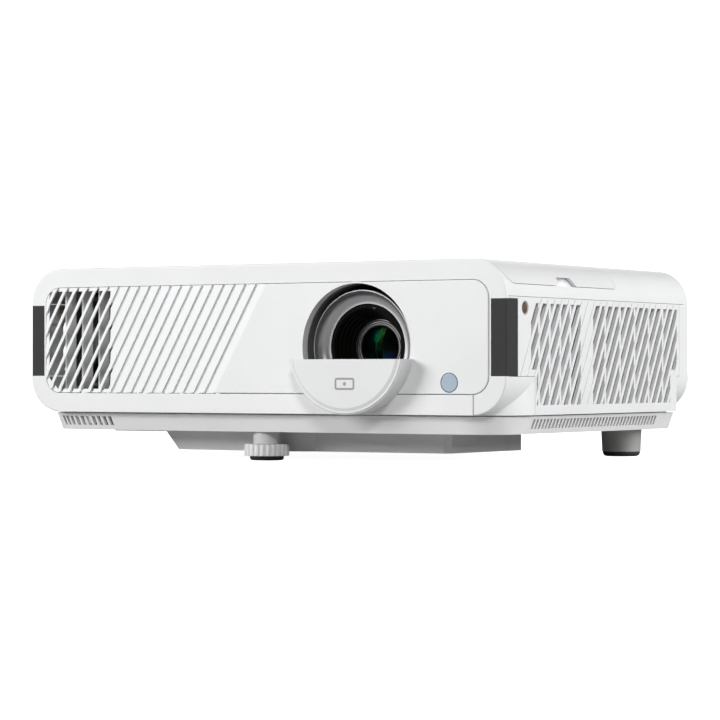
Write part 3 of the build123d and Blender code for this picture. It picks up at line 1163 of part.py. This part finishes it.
with BuildPart() as ac_inlet:
    with BuildSketch(upright(REAR - 22)):
        with Locations((INLET_X, INLET_Z)):
            RectangleRounded(27.6, 20.2, 2.0)
    extrude(amount=-21)
    with BuildSketch(upright(PLATE_FRONT - 2.2)):
        with Locations((INLET_X, INLET_Z)):
            RectangleRounded(40, 24, 3)
    extrude(amount=-2)
    with BuildSketch(upright(REAR - 17)):
        with Locations((INLET_X, INLET_Z)):
            RectangleRounded(23.6, 16.0, 3.0)
    extrude(amount=-20, mode=Mode.SUBTRACT)
    for pin_x, pin_z in ((-7, -1.5), (0, 2.5), (7, -1.5)):
        block(INLET_X + pin_x - 1, INLET_X + pin_x + 1, REAR - 18, REAR - 4,
              INLET_Z + pin_z - 2, INLET_Z + pin_z + 2)
save(ac_inlet, "ac_inlet")

with BuildPart() as power_supply:
    board_top = SUPPLY_Z + 1.6
    block(SUPPLY_X0, SUPPLY_X1, SUPPLY_Y0, SUPPLY_Y1, SUPPLY_Z, board_top)
    block(-118, -88, 80, 108, board_top, board_top + 30)
    block(-112, -94, 77, 111, board_top, board_top + 26)
    block(-182, -164, 84, 104, board_top, board_top + 22)
    block(-82, -79, 76, 116, board_top, board_top + 34)
    block(-131, -128, 76, 116, board_top, board_top + 34)
    for x, y in ((-148, 86), (-148, 108), (-72, 84)):
        post(x, y, 8 if x < -100 else 4.5, board_top, board_top + 28)
save(power_supply, "power_supply")

SPEAKER_Y0 = 88.0
SPEAKER_Y1 = 147.0
SPEAKER_Z = 74.0
with BuildPart() as speaker:
    block(SPEAKER_X - 28, SPEAKER_X + 28, SPEAKER_Y0, SPEAKER_Y1, SPEAKER_Z - 28, SPEAKER_Z + 28)
    block(SPEAKER_X - 26, SPEAKER_X + 26, SPEAKER_Y0 + 2, SPEAKER_Y1 - 6, SPEAKER_Z - 29, SPEAKER_Z + 26,
          Mode.SUBTRACT)
    with BuildSketch(upright(SPEAKER_Y1 + 1)):
        with Locations((SPEAKER_X, SPEAKER_Z)):
            Circle(24)
    extrude(amount=5.5, taper=20, mode=Mode.SUBTRACT)
    with Locations((SPEAKER_X, SPEAKER_Y1 - 10, SPEAKER_Z)):
        Sphere(9)
save(speaker, "speaker")
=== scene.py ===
"""Looks for the home projector: camera, soft studio light, procedural finishes and small detail pieces."""
import json
import math
import bmesh
import bpy
from mathutils import Matrix, Vector


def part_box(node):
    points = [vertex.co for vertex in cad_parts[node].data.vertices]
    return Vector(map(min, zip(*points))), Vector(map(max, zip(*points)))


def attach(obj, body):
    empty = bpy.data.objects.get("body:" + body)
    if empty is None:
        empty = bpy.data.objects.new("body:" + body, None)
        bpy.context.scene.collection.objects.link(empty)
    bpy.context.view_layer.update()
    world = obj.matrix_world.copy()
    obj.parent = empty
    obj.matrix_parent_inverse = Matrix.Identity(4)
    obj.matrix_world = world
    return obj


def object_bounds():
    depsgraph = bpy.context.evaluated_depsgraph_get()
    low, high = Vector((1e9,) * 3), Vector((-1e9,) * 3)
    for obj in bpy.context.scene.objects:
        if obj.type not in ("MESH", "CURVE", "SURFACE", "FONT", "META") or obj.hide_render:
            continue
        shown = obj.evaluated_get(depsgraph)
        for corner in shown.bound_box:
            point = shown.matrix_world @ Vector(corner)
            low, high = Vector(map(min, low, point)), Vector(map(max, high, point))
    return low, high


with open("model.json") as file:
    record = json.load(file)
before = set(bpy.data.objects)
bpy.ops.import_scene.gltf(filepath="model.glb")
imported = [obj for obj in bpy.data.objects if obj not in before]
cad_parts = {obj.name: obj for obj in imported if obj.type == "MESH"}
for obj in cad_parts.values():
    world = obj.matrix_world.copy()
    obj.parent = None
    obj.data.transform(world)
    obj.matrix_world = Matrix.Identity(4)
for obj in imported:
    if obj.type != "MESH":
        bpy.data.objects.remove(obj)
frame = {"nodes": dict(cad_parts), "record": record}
cad_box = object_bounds()
nodes = frame["nodes"]
MM = 0.001

# ---------------------------------------------------------------- camera
YAW = math.radians(31.72)
PITCH = math.radians(0.265)
FOCAL = 134.15
DISTANCE = 1.861
AIM_X = 0.0869                # point on the front face in the middle of the picture
AIM_Z = 0.0715
SENSOR_WIDTH = 36.0


def make_camera():
    """Camera to the front right, nearly level, aimed at a point on the front face."""
    target = Vector((AIM_X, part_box("front_frame")[0].y, AIM_Z))
    ahead = Vector((-math.sin(YAW) * math.cos(PITCH), math.cos(YAW) * math.cos(PITCH), math.sin(PITCH)))
    data = bpy.data.cameras.new("camera")
    data.lens = FOCAL
    data.sensor_width = SENSOR_WIDTH
    data.clip_start = 0.05
    data.clip_end = 200.0
    camera = bpy.data.objects.new("camera", data)
    camera.location = target - ahead * DISTANCE
    camera.rotation_mode = "QUATERNION"
    camera.rotation_quaternion = ahead.to_track_quat("-Z", "Y")
    bpy.context.scene.collection.objects.link(camera)
    bpy.context.scene.camera = camera


make_camera()


# ---------------------------------------------------------------- node trees
class Tree:
    """Shorthand for building a node tree. Inputs: _0 is socket number 0, a double underscore is a space."""

    def __init__(self, holder):
        holder.use_nodes = True
        self.tree = holder.node_tree
        self.tree.nodes.clear()

    def node(self, kind, sets=None, **inputs):
        made = self.tree.nodes.new(kind)
        for name, value in (sets or {}).items():
            setattr(made, name, value)
        for name, value in inputs.items():
            socket = made.inputs[int(name[1:])] if name[0] == "_" else made.inputs[name.replace("__", " ")]
            self.feed(socket, value)
        return made

    def feed(self, socket, value):
        if isinstance(value, bpy.types.NodeSocket):
            self.tree.links.new(value, socket)
        else:
            socket.default_value = value


def shade(colour, factor=1.0):
    """Colour made lighter or darker, with a full alpha."""
    return tuple(min(1.0, c * factor) for c in colour[:3]) + (1.0,)


def map_range(tree, value, first, last, low, high):
    """Maps first..last to low..high and clamps the rest."""
    return tree.node("ShaderNodeMapRange", _0=value, _1=first, _2=last, _3=low, _4=high).outputs[0]


def spread(tree, value, low, high):
    """Maps a noise value, which mostly stays within 0.3..0.7, to low..high."""
    return map_range(tree, value, 0.3, 0.7, low, high)


def noise(tree, where, scale, detail=3.0, stretch=None):
    """Noise in metres; stretch scales the axes for brushed or directional marks."""
    if stretch:
        where = tree.node("ShaderNodeMapping", Vector=where, Scale=stretch).outputs[0]
    made = tree.node("ShaderNodeTexNoise", Vector=where, Scale=scale, Detail=detail, Roughness=0.55)
    return made.outputs[0]


def mix_colour(tree, factor, first, second):
    """First colour at 0, second at 1."""
    made = tree.node("ShaderNodeMix", {"data_type": "RGBA"}, _0=factor, _6=first, _7=second)
    return made.outputs[2]


def multiply(tree, value, factor):
    """Value times a number."""
    return tree.node("ShaderNodeMath", {"operation": "MULTIPLY"}, _0=value, _1=factor).outputs[0]


def edge_mask(tree):
    """One on sharp outside edges and zero on flat faces."""
    sharp = tree.node("ShaderNodeNewGeometry").outputs["Pointiness"]
    return map_range(tree, sharp, 0.52, 0.62, 0.0, 1.0)


def surface(tree, shader):
    """Joins the shader to the material's output."""
    tree.feed(tree.node("ShaderNodeOutputMaterial").inputs[0], shader.outputs[0])


BLOTCH = 18.0                 # scale of the slow changes of tone


def finish_material(name, colour, rough, metal=0.0, grain=2600.0, depth=0.02, tone=0.02, wear=0.10,
                    stretch=None, rough_spread=0.03, specular=0.5, extra=None):
    """Opaque finish with fine grain (depth in mm), slow tone and roughness changes and worn edges."""
    material = bpy.data.materials.new(name)
    tree = Tree(material)
    where = tree.node("ShaderNodeTexCoord").outputs["Object"]
    slow = noise(tree, where, BLOTCH)
    fine = noise(tree, where, grain, 2.0, stretch)
    base = mix_colour(tree, spread(tree, slow, 0.0, 1.0), shade(colour, 1 - tone), shade(colour, 1 + tone))
    worn = multiply(tree, edge_mask(tree), wear)
    base = mix_colour(tree, worn, base, shade([0.5 + 0.5 * c for c in colour]))
    speck = spread(tree, fine, 1 - tone * 0.6, 1 + tone * 0.6)
    base = tree.node("ShaderNodeVectorMath", {"operation": "SCALE"}, _0=base, _3=speck).outputs[0]
    patches = noise(tree, where, BLOTCH * 6, 4.0)
    roughness = spread(tree, patches, rough - rough_spread, rough + rough_spread)
    bump = tree.node("ShaderNodeBump", Strength=1.0, Distance=depth * MM, Height=fine).outputs[0]
    shader = tree.node("ShaderNodeBsdfPrincipled", Base__Color=base, Roughness=roughness, Metallic=metal,
                       Normal=bump, Specular__IOR__Level=specular, **(extra or {}))
    surface(tree, shader)
    return material


def glass_material(name, colour, rough, film, film_ior, weight, ior):
    """Coated optical glass: the thin film (in nanometres) gives the coloured reflections."""
    material = bpy.data.materials.new(name)
    tree = Tree(material)
    where = tree.node("ShaderNodeTexCoord").outputs["Object"]
    dust = noise(tree, where, 900.0, 3.0)
    roughness = spread(tree, dust, rough * 0.5, rough * 1.5)
    slow = spread(tree, noise(tree, where, 60.0), 0.0, 1.0)
    tint = mix_colour(tree, slow, shade(colour, 0.97), shade(colour))
    shader = tree.node("ShaderNodeBsdfPrincipled", Base__Color=tint, Roughness=roughness, IOR=ior,
                       Transmission__Weight=weight)
    shader.inputs["Thin Film Thickness"].default_value = film
    shader.inputs["Thin Film IOR"].default_value = film_ior
    surface(tree, shader)
    return material


def board_material(name):
    """Green solder resist with raised tracks and pale pads."""
    material = bpy.data.materials.new(name)
    tree = Tree(material)
    where = tree.node("ShaderNodeTexCoord").outputs["Object"]
    tracks = tree.node("ShaderNodeTexBrick", Vector=where, Color1=(0.05, 0.25, 0.12, 1),
                       Color2=(0.035, 0.19, 0.09, 1), Mortar=(0.09, 0.34, 0.16, 1), Scale=220.0,
                       Mortar__Size=0.03)
    pads = tree.node("ShaderNodeTexVoronoi", Vector=where, Scale=420.0).outputs[0]
    pad = map_range(tree, pads, 0.16, 0.14, 0.0, 0.8)
    base = mix_colour(tree, pad, tracks.outputs[0], (0.62, 0.55, 0.42, 1))
    roughness = spread(tree, noise(tree, where, 300.0), 0.3, 0.45)
    bump = tree.node("ShaderNodeBump", Strength=0.6, Distance=0.03 * MM, Height=tracks.outputs[1]).outputs[0]
    shader = tree.node("ShaderNodeBsdfPrincipled", Base__Color=base, Roughness=roughness, Normal=bump)
    surface(tree, shader)
    return material


WHITE = (0.80, 0.805, 0.81)
BAND_WHITE = (0.81, 0.815, 0.82)
HOOD_WHITE = (0.76, 0.765, 0.77)
LID_WHITE = (0.77, 0.775, 0.78)
FINISHES = {
    "case_white": dict(colour=WHITE, rough=0.42),
    "band_white": dict(colour=BAND_WHITE, rough=0.42),
    "hood_white": dict(colour=HOOD_WHITE, rough=0.40),
    "lid_white": dict(colour=LID_WHITE, rough=0.42),
    "strip_grey": dict(colour=(0.045, 0.0455, 0.047), rough=0.6, grain=1800, depth=0.05, wear=0.0,
                       specular=0.08),
    "window_smoke": dict(colour=(0.42, 0.52, 0.62), rough=0.12, grain=900, depth=0.004, wear=0.0,
                         extra={"Coat__Weight": 0.6, "Coat__Roughness": 0.04}),
    "tray_grey": dict(colour=(0.79, 0.79, 0.79), rough=0.5),
    "plinth_grey": dict(colour=(0.80, 0.80, 0.795), rough=0.5),
    "foot_grey": dict(colour=(0.70, 0.70, 0.70), rough=0.48),
    # rear feet: the foot grey darkened to about half, painted shade for the shadow they stand in under the
    # body
    "rear_foot_painted_shade": dict(colour=(0.36, 0.36, 0.355), rough=0.45),
    "foot_white": dict(colour=(0.50, 0.50, 0.50), rough=0.45),
    "pad_rubber": dict(colour=(0.022, 0.022, 0.022), rough=0.75, grain=1500, depth=0.08, wear=0.2),
    "screw_brass": dict(colour=(0.82, 0.66, 0.50), rough=0.22, metal=1.0, grain=1200, depth=0.01,
                        stretch=(1, 1, 12), wear=0.4),
    "steel": dict(colour=(0.58, 0.58, 0.59), rough=0.3, metal=1.0, grain=900, depth=0.01,
                  stretch=(1, 14, 1)),
    "keypad_grey": dict(colour=(0.60, 0.605, 0.61), rough=0.38),
    "key_white": dict(colour=(0.80, 0.80, 0.80), rough=0.36),
    "light_pipe": dict(colour=(0.75, 0.80, 0.78), rough=0.2, wear=0.0, extra={"Transmission__Weight": 0.5}),
    "well_black": dict(colour=(0.14, 0.14, 0.141), rough=0.6, wear=0.0, specular=0.2),
    "baffle_black": dict(colour=(0.005, 0.0045, 0.004), rough=0.6, wear=0.0, specular=0.05),
    "ring_silver": dict(colour=(0.46, 0.46, 0.47), rough=0.33, metal=0.85, grain=2200, depth=0.006,
                        tone=0.008, wear=0.0, rough_spread=0.01),
    "barrel_black": dict(colour=(0.0015, 0.0015, 0.0017), rough=0.5, wear=0.0, specular=0.05),
    "dial_grey": dict(colour=(0.05, 0.05, 0.055), rough=0.5),
    "cell_black": dict(colour=(0.012, 0.012, 0.013), rough=0.4, metal=0.3, wear=0.0),
    "frame_alloy": dict(colour=(0.50, 0.51, 0.52), rough=0.45, metal=0.9, grain=1400, depth=0.05),
    "lamp_ceramic": dict(colour=(0.52, 0.53, 0.55), rough=0.35, metal=0.9, grain=1200),
    "fan_black": dict(colour=(0.028, 0.028, 0.030), rough=0.4),
    "filter_foam": dict(colour=(0.05, 0.05, 0.05), rough=0.9, grain=1400, depth=0.4, tone=0.3),
    "print_grey": dict(colour=(0.33, 0.32, 0.30), rough=0.5, wear=0.0),
}
materials = {name: finish_material(name, **settings) for name, settings in FINISHES.items()}
materials["board_green"] = board_material("board_green")
materials["lens_glass"] = glass_material("lens_glass", (0.60, 0.80, 0.64), 0.02, film=565.0, film_ior=1.08,
                                         weight=1.0, ior=1.16)
materials["wheel_glass"] = glass_material("wheel_glass", (0.90, 0.72, 0.40), 0.05, film=520.0, film_ior=2.0,
                                          weight=0.8, ior=1.6)

slot_of = {part["node"]: part["material_slot"] for part in frame["record"]["subparts"]}
# the rear feet take the darker grey that paints their shade
OWN_FINISH = {"rear_feet": "rear_foot_painted_shade", "lens_baffle": "baffle_black", "dust_shield": "baffle_black"}
for node_name, node in nodes.items():
    node.data.materials.clear()
    node.data.materials.append(materials[OWN_FINISH.get(node_name, slot_of[node_name])])


# ---------------------------------------------------------------- mesh helpers
def middle(node_name):
    """Middle of a node's box."""
    low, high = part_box(node_name)
    return (low + high) / 2


def new_piece(name, mesh_maker, slot, body, material=None, bevel=0.0):
    """Makes a mesh piece in the part's frame, gives it a finish and lets it ride on a body."""
    mesh = bpy.data.meshes.new(name)
    work = bmesh.new()
    mesh_maker(work)
    bmesh.ops.recalc_face_normals(work, faces=work.faces)
    work.to_mesh(mesh)
    work.free()
    piece = bpy.data.objects.new(name, mesh)
    bpy.context.scene.collection.objects.link(piece)
    mesh.materials.append(materials[material or slot])
    if bevel:
        rounded = piece.modifiers.new("rounded", "BEVEL")
        rounded.width = bevel
        rounded.segments = 2
        rounded.limit_method = "ANGLE"
    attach(piece, body)
    return piece


def prism(work, outline, place, thickness):
    """Closed prism: outline points (u, v) in place's plane, thickness along its third axis."""
    low = [work.verts.new(place @ Vector((u, v, 0.0))) for u, v in outline]
    high = [work.verts.new(place @ Vector((u, v, thickness))) for u, v in outline]
    work.faces.new(low)
    work.faces.new(high)
    for i in range(len(outline)):
        j = (i + 1) % len(outline)
        work.faces.new((low[i], low[j], high[j], high[i]))


def ring_prism(work, outer, inner, place, thickness):
    """Closed frame between two outlines that have the same number of points."""
    rows = []
    for outline in (outer, inner):
        rows.append([work.verts.new(place @ Vector((u, v, 0.0))) for u, v in outline])
        rows.append([work.verts.new(place @ Vector((u, v, thickness))) for u, v in outline])
    low_out, high_out, low_in, high_in = rows
    for i in range(len(outer)):
        j = (i + 1) % len(outer)
        work.faces.new((low_out[i], low_out[j], high_out[j], high_out[i]))
        work.faces.new((low_in[i], low_in[j], high_in[j], high_in[i]))
        work.faces.new((low_out[i], low_out[j], low_in[j], low_in[i]))
        work.faces.new((high_out[i], high_out[j], high_in[j], high_in[i]))


def rounded_outline(width, height, radius, steps=6):
    """Points round a rectangle with rounded corners, centred on the origin."""
    points = []
    for corner, (sx, sy) in enumerate(((1, 1), (-1, 1), (-1, -1), (1, -1))):
        cx = sx * (width / 2 - radius)
        cy = sy * (height / 2 - radius)
        for step in range(steps + 1):
            angle = math.radians(90 * corner + 90 * step / steps)
            points.append((cx + radius * math.cos(angle), cy + radius * math.sin(angle)))
    return points


def circle_outline(radius, count=48):
    """Points round a circle, centred on the origin."""
    return [(radius * math.cos(2 * math.pi * i / count), radius * math.sin(2 * math.pi * i / count))
            for i in range(count)]


def band_ring(work, outer, inner, front, back, centre, count=96):
    """Closed flat ring about an axis along Y."""
    rows = []
    for radius, y in ((outer, front), (outer, back), (inner, back), (inner, front)):
        rows.append([work.verts.new((centre.x + radius * math.cos(2 * math.pi * i / count), y,
                                     centre.z + radius * math.sin(2 * math.pi * i / count)))
                     for i in range(count)])
    for first, second in zip(rows, rows[1:] + rows[:1]):
        for i in range(count):
            j = (i + 1) % count
            work.faces.new((first[i], first[j], second[j], second[i]))


# ---------------------------------------------------------------- printed mark on the hood
FACING = Matrix(((1, 0, 0, 0), (0, 0, 1, 0), (0, 1, 0, 0), (0, 0, 0, 1)))    # (u, v, w) to (X, Z, Y)
PRINT = 0.05 * MM             # thickness of a printed mark
MARK_HEIGHT = 55.0 * MM       # middle of the mark above the floor
MARK_SHIFT = 0.8 * MM         # right of the hood's middle
MARK_SIZE = (16.0 * MM, 8.4 * MM)


def hood_mark(work):
    """Plain pictogram: a screen outline with a dot."""
    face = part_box("half_moon_hood")[0].y
    spot = (middle("half_moon_hood").x + MARK_SHIFT, face - 0.06 * MM, MARK_HEIGHT)
    place = Matrix.Translation(spot) @ FACING
    line = 2.8 * MM
    ring_prism(work, rounded_outline(*MARK_SIZE, 1.8 * MM),
               rounded_outline(MARK_SIZE[0] - line, MARK_SIZE[1] - line, 0.6 * MM), place, PRINT)
    prism(work, circle_outline(1.3 * MM, 24), place, PRINT)


new_piece("hood_mark", hood_mark, "hood_white", "chassis", "print_grey")


# ---------------------------------------------------------------- small details on the front
def window_gap_shade(work):
    """Thin dark ring laid on the panel where the infrared window meets it: painted shade for the gap between
    them.
    """
    low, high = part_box("ir_window")
    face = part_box("front_band")[0].y
    radius = (high.z - low.z) / 2 - 1.6 * MM
    band_ring(work, radius + 0.42 * MM, radius + 0.02 * MM, face - 0.06 * MM, face + 0.02 * MM,
              middle("ir_window"))


def lens_tab(work):
    """Small stop inside the barrel's rim, a little right of the top."""
    low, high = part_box("lens_barrel")
    centre = middle("lens_barrel")
    angle = math.radians(78)
    radius = (high.z - low.z) / 2 - 2.4 * MM
    spot = (centre.x + radius * math.cos(angle), low.y - 0.9 * MM, centre.z + radius * math.sin(angle))
    place = Matrix.Translation(spot) @ Matrix.Rotation(math.pi / 2 - angle, 4, "Y") @ FACING
    prism(work, rounded_outline(3.0 * MM, 1.3 * MM, 0.4 * MM, 3), place, 1.2 * MM)


def lens_rings(work):
    """Fine bright edges of the retaining rings round the front element."""
    low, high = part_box("focus_cell")
    outer = (high.z - low.z) / 2
    for inset in (0.5, 2.0, 3.4):
        radius = outer - inset * MM
        band_ring(work, radius, radius - 0.3 * MM, low.y - 0.14 * MM, low.y + 0.1 * MM, middle("focus_cell"))


new_piece("lens_rings", lens_rings, "cell_black", "focus_group", "ring_silver")
# dark ring painted round the infrared window as the shade of its gap
new_piece("window_gap_shade", window_gap_shade, "strip_grey", "chassis")
new_piece("lens_tab", lens_tab, "cell_black", "lens_unit", bevel=0.15 * MM)


# ---------------------------------------------------------------- printed icons on the keys
ICON = 0.04 * MM              # thickness of an icon


def icon_place(node_name):
    """Middle of a key's top."""
    spot = middle(node_name)
    spot.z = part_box(node_name)[1].z
    return Matrix.Translation(spot)


def arrow(work, node_name, turn):
    """Filled triangle that points away from the middle key."""
    points = [(1.9 * MM, 0.0), (-1.3 * MM, 1.9 * MM), (-1.3 * MM, -1.9 * MM)]
    place = icon_place(node_name) @ Matrix.Rotation(math.radians(turn), 4, "Z")
    prism(work, points, place, ICON)


def power_icon(work):
    """Open ring with an upright bar in its gap."""
    place = icon_place("power_button")
    gap, steps = math.radians(38), 28
    arc = [math.pi / 2 + gap + (2 * math.pi - 2 * gap) * i / steps for i in range(steps + 1)]
    outer = [(2.9 * MM * math.cos(angle), 2.9 * MM * math.sin(angle)) for angle in arc]
    inner = [(2.2 * MM * math.cos(angle), 2.2 * MM * math.sin(angle)) for angle in reversed(arc)]
    prism(work, outer + inner, place, ICON)
    bar = rounded_outline(0.7 * MM, 2.8 * MM, 0.3 * MM, 3)
    prism(work, bar, place @ Matrix.Translation((0, 2.0 * MM, 0)), ICON)


def menu_icon(work):
    """Three short lines."""
    for step in (-1.5, 0.0, 1.5):
        line = rounded_outline(5.0 * MM, 0.6 * MM, 0.25 * MM, 3)
        prism(work, line, icon_place("menu_button") @ Matrix.Translation((0, step * MM, 0)), ICON)


def ok_icon(work):
    """Plain ring."""
    ring_prism(work, circle_outline(2.4 * MM), circle_outline(1.7 * MM), icon_place("ok_button"), ICON)


for side, turn in (("right", 0), ("up", 90), ("left", 180), ("down", 270)):
    new_piece(side + "_icon", lambda work: arrow(work, side + "_button", turn), "key_white", side + "_key",
              "print_grey")
for key, maker in (("power", power_icon), ("menu", menu_icon), ("ok", ok_icon)):
    new_piece(key + "_icon", maker, "key_white", key + "_key", "print_grey")

# ---------------------------------------------------------------- floor and light
FLOOR_GLOW = 0.965            # makes the floor as white as the backdrop, for the camera only
FLOOR_RADIUS = 60.0
FLOOR_GAP = 0.0002            # under the feet


def make_floor():
    """Large pale disc that looks white to the camera and gives a soft, weaker bounce."""
    mesh = bpy.data.meshes.new("floor")
    work = bmesh.new()
    bmesh.ops.create_circle(work, cap_ends=True, radius=FLOOR_RADIUS, segments=96)
    work.to_mesh(mesh)
    work.free()
    floor = bpy.data.objects.new("floor", mesh)
    floor.location.z = cad_box[0].z - FLOOR_GAP
    bpy.context.scene.collection.objects.link(floor)
    material = bpy.data.materials.new("floor")
    tree = Tree(material)
    where = tree.node("ShaderNodeTexCoord").outputs["Object"]
    seen = tree.node("ShaderNodeLightPath").outputs["Is Camera Ray"]
    slow = spread(tree, noise(tree, where, 3.0), 0.0, 1.0)
    tone = mix_colour(tree, slow, (0.97, 0.97, 0.97, 1), (0.99, 0.99, 0.99, 1))
    base = mix_colour(tree, seen, (0.48, 0.48, 0.48, 1), tone)
    shader = tree.node("ShaderNodeBsdfPrincipled", Base__Color=base, Roughness=0.9,
                       Emission__Strength=multiply(tree, seen, FLOOR_GLOW))
    shader.inputs["Emission Color"].default_value = (1, 1, 1, 1)
    shader.inputs["Specular IOR Level"].default_value = 0.0
    surface(tree, shader)
    mesh.materials.append(material)


def area_light(name, place, aim, size, power):
    """White rectangular light, aimed at a point."""
    data = bpy.data.lights.new(name, "AREA")
    data.shape = "RECTANGLE"
    data.size, data.size_y = size
    data.energy = power
    light = bpy.data.objects.new(name, data)
    light.location = place
    light.rotation_mode = "QUATERNION"
    light.rotation_quaternion = (Vector(aim) - Vector(place)).to_track_quat("-Z", "Y")
    bpy.context.scene.collection.objects.link(light)


WORLD_FILL = 0.06             # light from all round
BACKDROP = 1.3                # what the camera sees, past full white


def make_world():
    """Faint even light, with a white backdrop for the camera."""
    world = bpy.data.worlds.new("studio")
    bpy.context.scene.world = world
    tree = Tree(world)
    seen = tree.node("ShaderNodeLightPath").outputs["Is Camera Ray"]
    strength = map_range(tree, seen, 0.0, 1.0, WORLD_FILL, BACKDROP)
    background = tree.node("ShaderNodeBackground", Color=(1, 1, 1, 1), Strength=strength)
    out = tree.node("ShaderNodeOutputWorld")
    tree.feed(out.inputs[0], background.outputs[0])


make_floor()
make_world()
area_light("key_right", (2.6, -4.0, 2.8), (0.0, -0.1, 0.08), (1.0, 1.0), 102)
area_light("fill_left", (-2.4, -2.9, 1.4), (0.0, -0.1, 0.08), (2.0, 1.6), 113)
area_light("softbox_top", (0.0, 0.0, 2.1), (0.0, 0.0, 0.0), (2.2, 2.2), 5)
area_light("side_right", (2.3, 0.7, 0.9), (0.2, 0.0, 0.08), (1.4, 1.2), 47)
area_light("back_left", (-1.4, 2.2, 1.3), (0.0, 0.1, 0.08), (1.6, 1.4), 12)

scene = bpy.context.scene
scene.view_settings.view_transform = "Standard"
scene.view_settings.look = "None"
